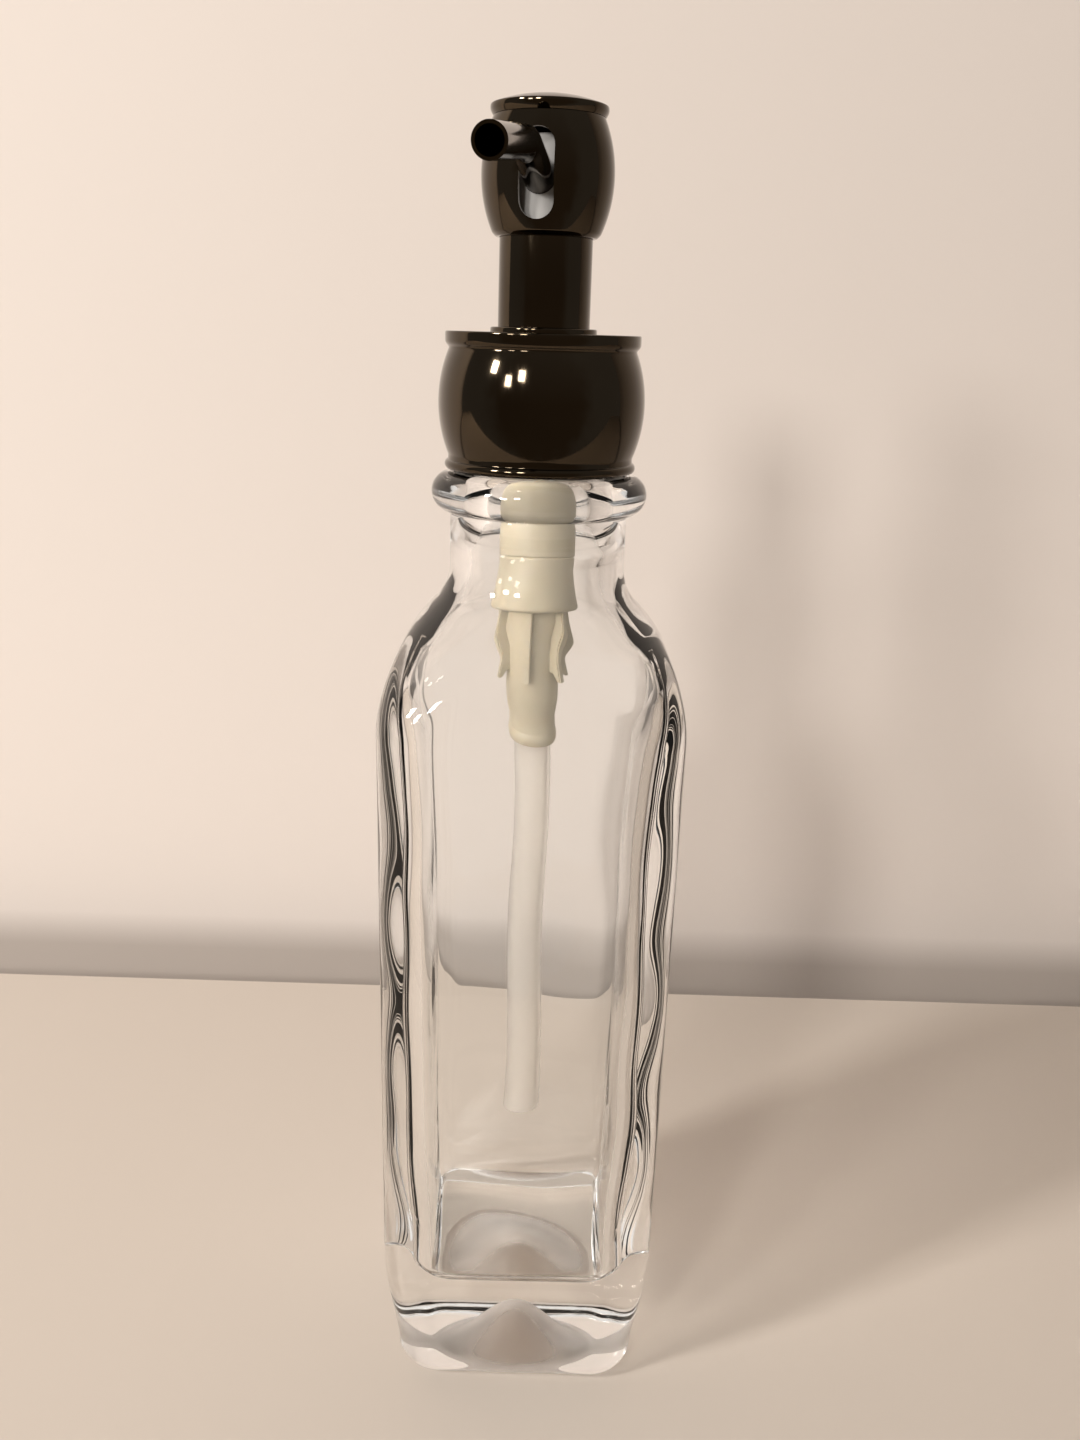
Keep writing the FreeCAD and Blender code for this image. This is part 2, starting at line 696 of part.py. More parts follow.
def ring_across(body, name, route, radii):
    """Circles square to the start of a route."""
    sketch = body.newObject("Sketcher::SketchObject", name)
    sketch.AttachmentSupport = [(route, "Edge1")]
    sketch.MapMode = "NormalToEdge"
    for radius in radii:
        circle = sketch.addGeometry(Part.Circle(FreeCAD.Vector(0, 0, 0), FreeCAD.Vector(0, 0, 1), value(radius)))
        sketch.addConstraint(Sketcher.Constraint("Coincident", circle, 3, -1, 1))
        index = sketch.addConstraint(Sketcher.Constraint("Radius", circle, value(radius)))
        sketch.setExpression(f"Constraints[{index}]", bound(radius))
    return sketch


def head():
    """Sleeve, slotted shell, domed cap, white actuator and bent spout, all turned to the spout's side."""
    sleeve = turned_part("stem_sleeve", [
        ("sleeve_radius - sleeve_wall", SLEEVE_FOOT),
        ("sleeve_radius", SLEEVE_FOOT),
        ("sleeve_radius", SLEEVE_TOP),
        ("sleeve_radius - sleeve_wall", SLEEVE_TOP),
    ])
    turn_head(sleeve)

    belly = f"({HEAD_FOOT} + head_belly_height)"
    inner_foot = f"({HEAD_FOOT} + head_wall)"
    shell = turned_part("head_shell", [
        ("sleeve_radius + seat_gap", HEAD_FOOT),
        ("head_foot_radius - head_bevel", HEAD_FOOT),
        ("head_foot_radius", f"{HEAD_FOOT} + head_bevel"),
        ("head_top_radius", HEAD_TOP, "head_belly_radius", belly),
        ("head_top_radius - head_wall", HEAD_TOP),
        ("head_foot_radius - head_wall", inner_foot, "head_belly_radius - head_wall", belly),
        ("sleeve_radius + seat_gap", inner_foot),
    ])
    slot_half = "(spout_radius + free_gap)"
    slot_low = f"({HEAD_FOOT} + slot_foot + {slot_half})"
    slot_high = f"({HEAD_FOOT} + slot_foot + slot_height - {slot_half})"
    sketch = new_sketch(shell, "slot_outline", "XZ_Plane")
    draw(sketch, [
        (slot_half, slot_low, "0", f"{slot_low} - {slot_half}"),
        (slot_half, slot_high),
        (f"-{slot_half}", slot_high, "0", f"{slot_high} + {slot_half}"),
        (f"-{slot_half}", slot_low),
    ])
    slot = shell.newObject("PartDesign::Pocket", "slot")
    slot.Profile = sketch
    slot.Type = "ThroughAll"
    slot.Reversed = True
    turn_head(shell)

    spigot = "(head_top_radius - head_wall - seat_gap)"
    rim_top = f"({HEAD_TOP} + rim_height)"
    cap = turned_part("head_cap", [
        ("0", f"{HEAD_TOP} - cap_spigot_depth"),
        (spigot, f"{HEAD_TOP} - cap_spigot_depth"),
        (spigot, HEAD_TOP),
        ("head_top_radius", HEAD_TOP),
        ("rim_radius", f"{HEAD_TOP} + rim_height / 2"),
        ("rim_radius", f"{rim_top} - edge_break"),
        ("rim_radius - edge_break", rim_top),
        ("0", f"{rim_top} + dome_height", "ball"),
    ])
    turn_head(cap)

    stem_seat = "(stem_radius + seat_gap)"
    sleeve_seat = "(sleeve_radius - sleeve_wall - seat_gap)"
    actuator_top = f"({SLEEVE_TOP} + actuator_height)"
    actuator = turned_part("actuator", [
        (stem_seat, ACTUATOR_FOOT),
        (sleeve_seat, ACTUATOR_FOOT),
        (sleeve_seat, SLEEVE_TOP),
        ("actuator_radius", SLEEVE_TOP),
        ("actuator_radius", actuator_top),
        ("0", actuator_top),
        ("0", SPOUT_ROOT),
        ("stem_duct_radius", SPOUT_ROOT),
        ("stem_duct_radius", SLEEVE_TOP),
        (stem_seat, SLEEVE_TOP),
    ])
    socket = actuator.newObject("PartDesign::SubtractivePipe", "spout_socket")
    route = new_sketch(actuator, "socket_route", "YZ_Plane")
    draw(route, [
        ("-spout_root_reach", SPOUT_ROOT),
        ("-spout_bend_reach", SPOUT_BEND),
    ], closed=False)
    doc.recompute()
    socket.Profile = ring_across(actuator, "socket_outline", route, ["spout_radius + seat_gap"])
    socket.Spine = (route, ["Edge1"])
    actuator.Tip = socket
    turn_head(actuator)
    spout_tube()


def spout_tube():
    """A round tube: one rising run, one bend and a nearly level run to the open mouth."""
    body = new_body("spout_tube")
    root = FreeCAD.Vector(-value("spout_root_reach"), value(SPOUT_ROOT), 0)
    bend = FreeCAD.Vector(-value("spout_bend_reach"), value(SPOUT_BEND), 0)
    mouth = FreeCAD.Vector(-value("spout_mouth_reach"), value(SPOUT_MOUTH), 0)
    first = (bend - root).normalize()
    second = (mouth - bend).normalize()
    turn = first.getAngle(second)
    setback = value("spout_bend_radius") * math.tan(turn / 2)
    leave = bend - first * setback
    rejoin = bend + second * setback
    inward = (second - first).normalize()
    through = bend + inward * (value("spout_bend_radius") * (1 / math.cos(turn / 2) - 1))

    route = new_sketch(body, "spout_route", "YZ_Plane")
    rise = route.addGeometry(Part.LineSegment(root, leave))
    curve = route.addGeometry(Part.Arc(leave, through, rejoin))
    level = route.addGeometry(Part.LineSegment(rejoin, mouth))
    corner = route.addGeometry(Part.Point(bend), True)
    left_turn = first.cross(second).z > 0
    curve_start, curve_end = (1, 2) if left_turn else (2, 1)
    route.addConstraint(Sketcher.Constraint("Tangent", rise, 2, curve, curve_start))
    route.addConstraint(Sketcher.Constraint("Tangent", level, 1, curve, curve_end))
    pin(route, rise, 1, "-spout_root_reach", SPOUT_ROOT)
    pin(route, level, 2, "-spout_mouth_reach", SPOUT_MOUTH)
    pin(route, corner, 1, "-spout_bend_reach", SPOUT_BEND)
    route.addConstraint(Sketcher.Constraint("PointOnObject", corner, 1, rise))
    route.addConstraint(Sketcher.Constraint("PointOnObject", corner, 1, level))
    index = route.addConstraint(Sketcher.Constraint("Radius", curve, value("spout_bend_radius")))
    route.setExpression(f"Constraints[{index}]", bound("spout_bend_radius"))
    doc.recompute()
    pipe = body.newObject("PartDesign::AdditivePipe", "spout_pipe")
    pipe.Profile = ring_across(body, "spout_outline", route, ["spout_radius", "spout_bore_radius"])
    pipe.Spine = (route, ["Edge1", "Edge2", "Edge3"])
    body.Tip = pipe
    turn_head(body)
    PARTS.append(body)


def check_and_write():
    """Stop on any failed object or bad shape, then write one file for each part."""
    doc.recompute()
    for item in doc.Objects:
        if "Invalid" in item.State or "Error" in item.State:
            raise RuntimeError(f"{item.Label} failed: {item.State}")
    for part in PARTS:
        if part.Shape.isNull() or not part.Shape.isValid() or not part.Shape.Solids:
            raise RuntimeError(part.Label + " has no valid solid")
    os.makedirs("parts", exist_ok=True)
    for part in PARTS:
        part.Shape.exportStep(f"parts/{part.Label}.step")
        print(part.Label, len(part.Shape.Solids), round(part.Shape.Volume, 1))


glass_bottle()
closure()
pump_body()
plunger()
return_spring()
valve_ball("inlet_ball", INLET_BALL)
valve_ball("outlet_ball", OUTLET_BALL)
head()
check_and_write()
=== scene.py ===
# Looks of the square glass oil bottle with its dark metal press pump, in metres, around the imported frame.
import bpy
import bmesh
import math
from mathutils import Matrix, Vector


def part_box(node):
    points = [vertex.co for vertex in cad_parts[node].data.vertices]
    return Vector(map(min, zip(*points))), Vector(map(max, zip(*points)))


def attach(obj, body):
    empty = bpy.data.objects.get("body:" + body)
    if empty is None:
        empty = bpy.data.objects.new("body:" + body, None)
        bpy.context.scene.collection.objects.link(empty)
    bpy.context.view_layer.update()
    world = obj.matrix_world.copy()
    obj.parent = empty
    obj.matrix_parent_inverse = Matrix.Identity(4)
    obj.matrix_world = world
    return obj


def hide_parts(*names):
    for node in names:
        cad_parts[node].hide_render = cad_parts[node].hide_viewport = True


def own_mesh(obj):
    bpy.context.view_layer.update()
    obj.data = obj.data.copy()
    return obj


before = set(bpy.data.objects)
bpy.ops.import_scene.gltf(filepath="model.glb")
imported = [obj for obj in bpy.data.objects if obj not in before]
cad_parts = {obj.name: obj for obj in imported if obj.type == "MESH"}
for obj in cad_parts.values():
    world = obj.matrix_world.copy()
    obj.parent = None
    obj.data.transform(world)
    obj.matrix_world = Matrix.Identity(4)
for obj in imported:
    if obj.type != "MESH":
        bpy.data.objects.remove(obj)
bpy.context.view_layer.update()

# Sizes are in millimetres unless their name says otherwise.
MM = 0.001
FAR = 1000.0
TURN = 2 * math.pi

# Lengths over which edges are rounded off, the play between fitted pieces and the reach of a weld.
HAIR_EDGE = 0.15
FINE_EDGE = 0.2
SOFT_EDGE = 0.3
FLANGE_EDGE = 0.35
FULL_EDGE = 0.4
WIDE_EDGE = 0.5
EDGE_SHARE = 0.45
PLAY = 0.05
WELD = 0.002

# Heights that the pieces share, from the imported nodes.
BOTTLE_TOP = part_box("glass_bottle")[1].z / MM
COLLAR_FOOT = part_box("collar_shell")[0].z / MM
COLLAR_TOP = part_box("collar_shell")[1].z / MM
GUIDE_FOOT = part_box("guide_ring")[0].z / MM
SLEEVE_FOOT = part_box("stem_sleeve")[0].z / MM
SLEEVE_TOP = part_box("stem_sleeve")[1].z / MM
HEAD_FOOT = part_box("head_shell")[0].z / MM
HEAD_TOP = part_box("head_shell")[1].z / MM
DOME_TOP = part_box("head_cap")[1].z / MM
HOUSING_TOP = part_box("pump_housing")[1].z / MM
SOCKET_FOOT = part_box("pump_housing")[0].z / MM
TUBE_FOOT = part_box("dip_tube")[0].z / MM
TUBE_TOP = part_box("dip_tube")[1].z / MM
SPRING_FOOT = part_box("return_spring")[0].z / MM
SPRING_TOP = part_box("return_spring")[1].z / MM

# Glass bottle
FOOT_HALF = 24.5
BODY_HALF = 27.5
COLUMN_TOP_HALF = 28.4
CORNER = 9.0
FOOT_HEIGHT = 30.0
HEEL = 5.0
SHOULDER_FOOT = 140.5
SHOULDER_ARC = 31.0
NECK_HOLLOW = 10.0
NECK_RADIUS = 16.6
FLOOR_HALF = 20.3
CAVITY_TOP_HALF = 22.4
INNER_CORNER = 5.5
FLOOR_HEIGHT = 23.3
FLOOR_ROUND = 4.0
INNER_SHOULDER_FOOT = 146.5
INNER_SHOULDER_ARC = 14.0
INNER_NECK_HOLLOW = 22.0
PUNT_RADIUS = 18.0
PUNT_HEIGHT = 10.5
PUNT_MARGIN = 1.0
RING_RADIUS = 20.15
RING_HEIGHT = 183.0
RING_HALF = 3.7
FINISH_RADIUS = 12.65
MOUTH_RADIUS = 9.7
INNER_NECK_RADIUS = 12.6
THROAT_DROP = 6.3
WALL_WAVE = 2.6
WAVE_LENGTH = 26.0
RING_EDGE = 1.0
MOUTH_EDGE = 0.8
THROAT_EDGE = 1.5
INNER_NECK_EDGE = 3.0
HEEL_STEP = 0.6
FOOT_OVERRUN = 4.0
ROW_STEP = 1.0
PUNT_STEPS = 30
HEEL_STEPS = 10
FOOT_STEPS = 36
COLUMN_STEPS = 44
SHOULDER_STEPS = 60
CAVITY_STEPS = 80
FLOOR_ROUND_STEPS = 24
FLOOR_STEPS = 8

# Closure
COLLAR_BELLY = 19.0
COLLAR_NECK = 17.1
COLLAR_FLANGE = 17.85
COLLAR_FLANGE_THICKNESS = 2.0
COLLAR_BEAD = 17.75
COLLAR_BEAD_HEIGHT = 1.8
COLLAR_BEAD_REACH = 0.6
COLLAR_COVE = 0.8
COLLAR_BELLY_LIFT = 0.6
COLLAR_SEAT = 15.95
COLLAR_WALL = 0.9
SLEEVE_RADIUS = 8.35
SLEEVE_WALL = 0.6
GUIDE_BORE = 8.5
GUIDE_BODY = 9.3
GUIDE_FLANGE = 9.7
GUIDE_FLANGE_THICKNESS = 0.9

# Head
HEAD_FOOT_RADIUS = 9.7
HEAD_BELLY = 11.75
HEAD_BELLY_HEIGHT = 11.4
HEAD_TOP_RADIUS = 9.8
HEAD_WALL = 0.9
HEAD_BEVEL = 0.7
RIM_RADIUS = 10.35
RIM_HEIGHT = 1.8
CAP_SPIGOT = 2.2
SLOT_HALF = 3.05
SLOT_FOOT = 2.4
SLOT_HEIGHT = 14.6
SLOT_START = 2.0
SLOT_PAST = 4.0
SLOT_STEPS = 16
SPOUT_AZIMUTH = math.radians(-10)
SPOUT_RADIUS = 2.75
SPOUT_BORE = 2.2
SPOUT_ROOT = (1.5, 7.6)
SPOUT_BEND = (22.0, 13.0)
SPOUT_MOUTH = (47.0, 9.9)
SPOUT_BEND_RADIUS = 9.0
BEND_STEPS = 12
PIPE_CREASE = 1.0
SPOUT_STEPS = 60
SPOUT_AROUND = 48

# Pump body
HOUSING_RADIUS = 7.1
HOUSING_FLANGE = 12.2
HOUSING_FLANGE_THICKNESS = 1.5
HOUSING_BORE = 5.9
BORE_FLOOR_LIFT = 3.4
SKIRT_DROP = 38.2
SKIRT_RADIUS = 8.4
SKIRT_FLARE = 11.0
SKIRT_ROUND = 1.2
FLARE_EDGE = 0.6
GROOVE_LIFT = 0.8
GROOVE_HALF = 0.4
GROOVE_DEPTH = 0.35
CORE_RADIUS = 5.0
CORE_SWELL = 0.3
FIN_COUNT = 6
FIN_TURN = math.radians(22)
FIN_REACH = 6.7
FIN_FLARE = 0.8
FIN_HANG = 2.0
FIN_SINK = 0.5
FIN_THICKNESS = 1.3
FIN_LENGTH = 11.6
FIN_CREASE = 0.6
FIN_BEVEL = 0.2
SKIRT_FOOT = HOUSING_TOP - SKIRT_DROP
FIN_FOOT = SKIRT_FOOT - FIN_LENGTH
SOCKET_WAIST = 4.45
SOCKET_LIP = 1.6
SOCKET_SWELL = 0.2
TUBE_RADIUS = 3.5
TUBE_WALL = 0.9
SPRING_RADIUS = 4.6
SPRING_WIRE = 1.0
SPRING_TURNS = 7
COIL_STEPS = 32
WIRE_AROUND = 16


def add_node(tree, kind, **settings):
    """A new node of a tree, with its settings."""
    node = tree.nodes.new(kind)
    for name, setting in settings.items():
        setattr(node, name, setting)
    return node


def feed(tree, socket, source):
    """Give an input socket a plain value, or join it to another node's output."""
    if isinstance(source, bpy.types.NodeSocket):
        tree.links.new(source, socket)
    else:
        socket.default_value = source


def calc(tree, operation, *sources):
    """The result of one step of arithmetic on numbers and sockets."""
    node = add_node(tree, "ShaderNodeMath", operation=operation)
    for socket, source in zip(node.inputs, sources):
        feed(tree, socket, source)
    return node.outputs[0]


def new_tree(name, seed_name, inputs):
    """A geometry tree with a seed, named inputs and one piece as its output."""
    tree = bpy.data.node_groups.new(name, "GeometryNodeTree")
    tree.interface.new_socket(seed_name, in_out="INPUT", socket_type="NodeSocketGeometry")
    for label, kind in inputs:
        tree.interface.new_socket(label, in_out="INPUT", socket_type="NodeSocket" + kind)
    tree.interface.new_socket("Piece", in_out="OUTPUT", socket_type="NodeSocketGeometry")
    sockets = add_node(tree, "NodeGroupInput").outputs
    return tree, sockets, add_node(tree, "NodeGroupOutput").inputs[0]


def grown(name, seed, tree, settings):
    """A plain mesh object that a tree makes from a seed mesh or curve."""
    source = bpy.data.objects.new(name + "_seed", seed)
    bpy.context.scene.collection.objects.link(source)
    modifier = source.modifiers.new("tree", "NODES")
    modifier.node_group = tree
    for item in tree.interface.items_tree:
        if item.in_out == "INPUT" and item.name in settings:
            modifier[item.identifier] = settings[item.name]
    graph = bpy.context.evaluated_depsgraph_get()
    mesh = bpy.data.meshes.new_from_object(source.evaluated_get(graph))
    bpy.data.objects.remove(source)
    piece = bpy.data.objects.new(name, mesh)
    bpy.context.scene.collection.objects.link(piece)
    return piece


def finish_shape(tree, shape, crease, material, piece):
    """Close seams and poles, shade smooth up to the crease angle, realize and set the material."""
    merge = add_node(tree, "GeometryNodeMergeByDistance")
    feed(tree, merge.inputs["Geometry"], shape)
    feed(tree, merge.inputs["Distance"], WELD * MM)
    smooth = add_node(tree, "GeometryNodeSetShadeSmooth", domain="FACE")
    feed(tree, smooth.inputs["Geometry"], merge.outputs["Geometry"])
    angle = add_node(tree, "GeometryNodeInputMeshEdgeAngle").outputs["Unsigned Angle"]
    sharp = add_node(tree, "GeometryNodeSetShadeSmooth", domain="EDGE")
    feed(tree, sharp.inputs["Geometry"], smooth.outputs["Geometry"])
    feed(tree, sharp.inputs["Selection"], calc(tree, "GREATER_THAN", angle, crease))
    feed(tree, sharp.inputs["Shade Smooth"], False)
    real = add_node(tree, "GeometryNodeRealizeInstances")
    feed(tree, real.inputs["Geometry"], sharp.outputs["Geometry"])
    dress = add_node(tree, "GeometryNodeSetMaterial")
    feed(tree, dress.inputs["Geometry"], real.outputs["Geometry"])
    feed(tree, dress.inputs["Material"], material)
    feed(tree, piece, dress.outputs["Geometry"])


def rounded_square_reach(tree, angle, half, corner):
    """How far a rounded square reaches from its centre in a direction."""
    eighth = TURN / 8
    folded = calc(tree, "FLOORED_MODULO", calc(tree, "ADD", angle, eighth), 2 * eighth)
    lean = calc(tree, "ABSOLUTE", calc(tree, "SUBTRACT", folded, eighth))
    across = calc(tree, "COSINE", lean)
    flat_reach = calc(tree, "DIVIDE", half, across)
    flat = calc(tree, "SUBTRACT", half, corner)
    ahead = calc(tree, "MULTIPLY", flat, calc(tree, "ADD", across, calc(tree, "SINE", lean)))
    slack = calc(tree, "SUBTRACT", calc(tree, "MULTIPLY", corner, corner),
                 calc(tree, "MULTIPLY", 2.0, calc(tree, "MULTIPLY", flat, flat)))
    inside = calc(tree, "MAXIMUM", calc(tree, "ADD", calc(tree, "MULTIPLY", ahead, ahead), slack), 0.0)
    corner_reach = calc(tree, "ADD", ahead, calc(tree, "SQRT", inside))
    height_on_side = calc(tree, "MULTIPLY", half, calc(tree, "TANGENT", lean))
    on_corner = calc(tree, "GREATER_THAN", height_on_side, flat)
    difference = calc(tree, "SUBTRACT", corner_reach, flat_reach)
    return calc(tree, "ADD", flat_reach, calc(tree, "MULTIPLY", on_corner, difference))


def wrapped_grid(tree, around, rows):
    """A sheet to wrap round: its mesh, and the angle and row number of its points."""
    grid = add_node(tree, "GeometryNodeMeshGrid")
    feed(tree, grid.inputs["Size X"], 1.0)
    feed(tree, grid.inputs["Size Y"], 1.0)
    feed(tree, grid.inputs["Vertices X"], calc(tree, "ADD", around, 1.0))
    feed(tree, grid.inputs["Vertices Y"], rows)
    flat = add_node(tree, "ShaderNodeSeparateXYZ")
    feed(tree, flat.inputs[0], add_node(tree, "GeometryNodeInputPosition").outputs[0])
    angle = calc(tree, "MULTIPLY", calc(tree, "ADD", flat.outputs["X"], 0.5), TURN)
    last = calc(tree, "SUBTRACT", rows, 1.0)
    row = calc(tree, "ROUND", calc(tree, "MULTIPLY", calc(tree, "ADD", flat.outputs["Y"], 0.5), last))
    return grid.outputs["Mesh"], angle, row


def turned_wall_tree():
    """Turns outline rows about the upright axis. A row with a half side is squared, with rounded corners."""
    tree, given, piece = new_tree("turned_wall", "Outline", [
        ("Around", "Int"), ("Crease", "Float"), ("Wave Length", "Float"), ("Material", "Material")])
    size = add_node(tree, "GeometryNodeAttributeDomainSize", component="MESH")
    feed(tree, size.inputs["Geometry"], given["Outline"])
    sheet, angle, row = wrapped_grid(tree, given["Around"], size.outputs["Point Count"])

    def read(kind, source):
        sample = add_node(tree, "GeometryNodeSampleIndex", data_type=kind, domain="POINT")
        feed(tree, sample.inputs["Geometry"], given["Outline"])
        feed(tree, sample.inputs["Value"], source)
        feed(tree, sample.inputs["Index"], row)
        return sample.outputs["Value"]

    def column(name):
        attribute = add_node(tree, "GeometryNodeInputNamedAttribute", data_type="FLOAT")
        attribute.inputs["Name"].default_value = name
        return read("FLOAT", attribute.outputs["Attribute"])

    position = add_node(tree, "GeometryNodeInputPosition").outputs[0]
    point = add_node(tree, "ShaderNodeSeparateXYZ")
    feed(tree, point.inputs[0], read("FLOAT_VECTOR", position))
    square = rounded_square_reach(tree, angle, column("half_side"), column("corner"))
    reach = calc(tree, "MINIMUM", square, point.outputs["X"])

    def around(radius, height):
        spot = add_node(tree, "ShaderNodeCombineXYZ")
        feed(tree, spot.inputs["X"], calc(tree, "MULTIPLY", radius, calc(tree, "COSINE", angle)))
        feed(tree, spot.inputs["Y"], calc(tree, "MULTIPLY", radius, calc(tree, "SINE", angle)))
        feed(tree, spot.inputs["Z"], height)
        return spot.outputs[0]

    noise = add_node(tree, "ShaderNodeTexNoise")
    feed(tree, noise.inputs["Vector"], around(reach, point.outputs["Z"]))
    feed(tree, noise.inputs["Scale"], calc(tree, "DIVIDE", 1.0, given["Wave Length"]))
    feed(tree, noise.inputs["Detail"], 0.0)
    swell = calc(tree, "MULTIPLY", calc(tree, "SUBTRACT", noise.outputs[0], 0.5), column("wave"))
    waved = calc(tree, "ADD", reach, swell)
    lifted = calc(tree, "ADD", point.outputs["Z"], swell)
    shift = add_node(tree, "GeometryNodeSetPosition")
    feed(tree, shift.inputs["Geometry"], sheet)
    feed(tree, shift.inputs["Position"], around(waved, lifted))
    finish_shape(tree, shift.outputs["Geometry"], given["Crease"], given["Material"], piece)
    return tree


def coil_tree():
    """A round wire wound into a helix."""
    tree, given, piece = new_tree("coil", "Seed", [
        ("Turns", "Float"), ("Radius", "Float"), ("Rise", "Float"), ("Wire", "Float"), ("Foot", "Float"),
        ("Material", "Material")])
    helix = add_node(tree, "GeometryNodeCurveSpiral")
    feed(tree, helix.inputs["Resolution"], COIL_STEPS)
    feed(tree, helix.inputs["Rotations"], given["Turns"])
    feed(tree, helix.inputs["Start Radius"], given["Radius"])
    feed(tree, helix.inputs["End Radius"], given["Radius"])
    feed(tree, helix.inputs["Height"], given["Rise"])
    section = add_node(tree, "GeometryNodeCurvePrimitiveCircle")
    feed(tree, section.inputs["Resolution"], WIRE_AROUND)
    feed(tree, section.inputs["Radius"], given["Wire"])
    tube = add_node(tree, "GeometryNodeCurveToMesh")
    feed(tree, tube.inputs["Curve"], helix.outputs["Curve"])
    feed(tree, tube.inputs["Profile Curve"], section.outputs["Curve"])
    feed(tree, tube.inputs["Fill Caps"], True)
    raise_by = add_node(tree, "ShaderNodeCombineXYZ")
    feed(tree, raise_by.inputs["Z"], given["Foot"])
    shift = add_node(tree, "GeometryNodeSetPosition")
    feed(tree, shift.inputs["Geometry"], tube.outputs["Mesh"])
    feed(tree, shift.inputs["Offset"], raise_by.outputs[0])
    finish_shape(tree, shift.outputs["Geometry"], PIPE_CREASE, given["Material"], piece)
    return tree


def pipe_tree():
    """A round pipe with a bore along a filleted route, open at its far end."""
    tree, given, piece = new_tree("bent_pipe", "Route", [
        ("Bend Radius", "Float"), ("Radius", "Float"), ("Bore", "Float"), ("Steps", "Int"), ("Around", "Int"),
        ("Material", "Material")])
    fillet = add_node(tree, "GeometryNodeFilletCurve", mode="POLY")
    feed(tree, fillet.inputs["Curve"], given["Route"])
    feed(tree, fillet.inputs["Radius"], given["Bend Radius"])
    feed(tree, fillet.inputs["Count"], BEND_STEPS)
    steps = given["Steps"]
    rows = calc(tree, "ADD", calc(tree, "MULTIPLY", steps, 2.0), 3.0)
    sheet, angle, row = wrapped_grid(tree, given["Around"], rows)
    wrapped = calc(tree, "MODULO", row, calc(tree, "SUBTRACT", rows, 1.0))
    inside = calc(tree, "GREATER_THAN", wrapped, calc(tree, "ADD", steps, 0.5))
    back = calc(tree, "SUBTRACT", calc(tree, "ADD", calc(tree, "MULTIPLY", steps, 2.0), 1.0), wrapped)
    step = calc(tree, "ADD", calc(tree, "MULTIPLY", inside, back),
                calc(tree, "MULTIPLY", calc(tree, "SUBTRACT", 1.0, inside), wrapped))
    narrowing = calc(tree, "MULTIPLY", inside, calc(tree, "SUBTRACT", given["Radius"], given["Bore"]))
    radius = calc(tree, "SUBTRACT", given["Radius"], narrowing)
    sample = add_node(tree, "GeometryNodeSampleCurve", mode="FACTOR", use_all_curves=True)
    feed(tree, sample.inputs["Curves"], fillet.outputs["Curve"])
    feed(tree, sample.inputs["Factor"], calc(tree, "DIVIDE", step, steps))
    side = add_node(tree, "ShaderNodeVectorMath", operation="CROSS_PRODUCT")
    feed(tree, side.inputs[0], sample.outputs["Tangent"])
    feed(tree, side.inputs[1], sample.outputs["Normal"])

    def along(direction, share):
        scale = add_node(tree, "ShaderNodeVectorMath", operation="SCALE")
        feed(tree, scale.inputs[0], direction)
        feed(tree, scale.inputs["Scale"], calc(tree, "MULTIPLY", radius, calc(tree, share, angle)))
        return scale.outputs[0]

    first = add_node(tree, "ShaderNodeVectorMath", operation="ADD")
    feed(tree, first.inputs[0], along(sample.outputs["Normal"], "COSINE"))
    feed(tree, first.inputs[1], along(side.outputs[0], "SINE"))
    spot = add_node(tree, "ShaderNodeVectorMath", operation="ADD")
    feed(tree, spot.inputs[0], sample.outputs["Position"])
    feed(tree, spot.inputs[1], first.outputs[0])
    shift = add_node(tree, "GeometryNodeSetPosition")
    feed(tree, shift.inputs["Geometry"], sheet)
    feed(tree, shift.inputs["Position"], spot.outputs[0])
    finish_shape(tree, shift.outputs["Geometry"], PIPE_CREASE, given["Material"], piece)
    return tree


def ring_tree():
    """Copies of one seed shape, turned evenly about the upright axis."""
    tree, given, piece = new_tree("ring_of_copies", "Seed", [("Count", "Int"), ("Material", "Material")])
    spots = add_node(tree, "GeometryNodePoints")
    feed(tree, spots.inputs["Count"], given["Count"])
    number = add_node(tree, "GeometryNodeInputIndex").outputs[0]
    turn = add_node(tree, "ShaderNodeCombineXYZ")
    feed(tree, turn.inputs["Z"], calc(tree, "MULTIPLY", number, calc(tree, "DIVIDE", TURN, given["Count"])))
    copies = add_node(tree, "GeometryNodeInstanceOnPoints")
    feed(tree, copies.inputs["Points"], spots.outputs[0])
    feed(tree, copies.inputs["Instance"], given["Seed"])
    feed(tree, copies.inputs["Rotation"], turn.outputs[0])
    real = add_node(tree, "GeometryNodeRealizeInstances")
    feed(tree, real.inputs["Geometry"], copies.outputs[0])
    finish_shape(tree, real.outputs["Geometry"], FIN_CREASE, given["Material"], piece)
    return tree


TURNED_WALL = turned_wall_tree()
COIL = coil_tree()
BENT_PIPE = pipe_tree()
RING_OF_COPIES = ring_tree()


def circle_through(first, second, third):
    """Centre and radius of the circle through three points."""
    (ax, ay), (bx, by), (cx, cy) = first, second, third
    twice = 2 * (ax * (by - cy) + bx * (cy - ay) + cx * (ay - by))
    a, b, c = ax * ax + ay * ay, bx * bx + by * by, cx * cx + cy * cy
    middle = ((a * (by - cy) + b * (cy - ay) + c * (ay - by)) / twice,
              (a * (cx - bx) + b * (ax - cx) + c * (bx - ax)) / twice)
    return middle, math.dist(middle, first)


def arc_points(start, through, end, steps):
    """Points between the ends of the arc from start through a middle point to end."""
    (x, y), radius = circle_through(start, through, end)
    first, bend, last = (math.atan2(p[1] - y, p[0] - x) for p in (start, through, end))
    sweep = (last - first) % TURN
    if (bend - first) % TURN > sweep:
        sweep -= TURN
    angles = [first + sweep * n / steps for n in range(1, steps)]
    return [(x + radius * math.cos(a), y + radius * math.sin(a)) for a in angles]


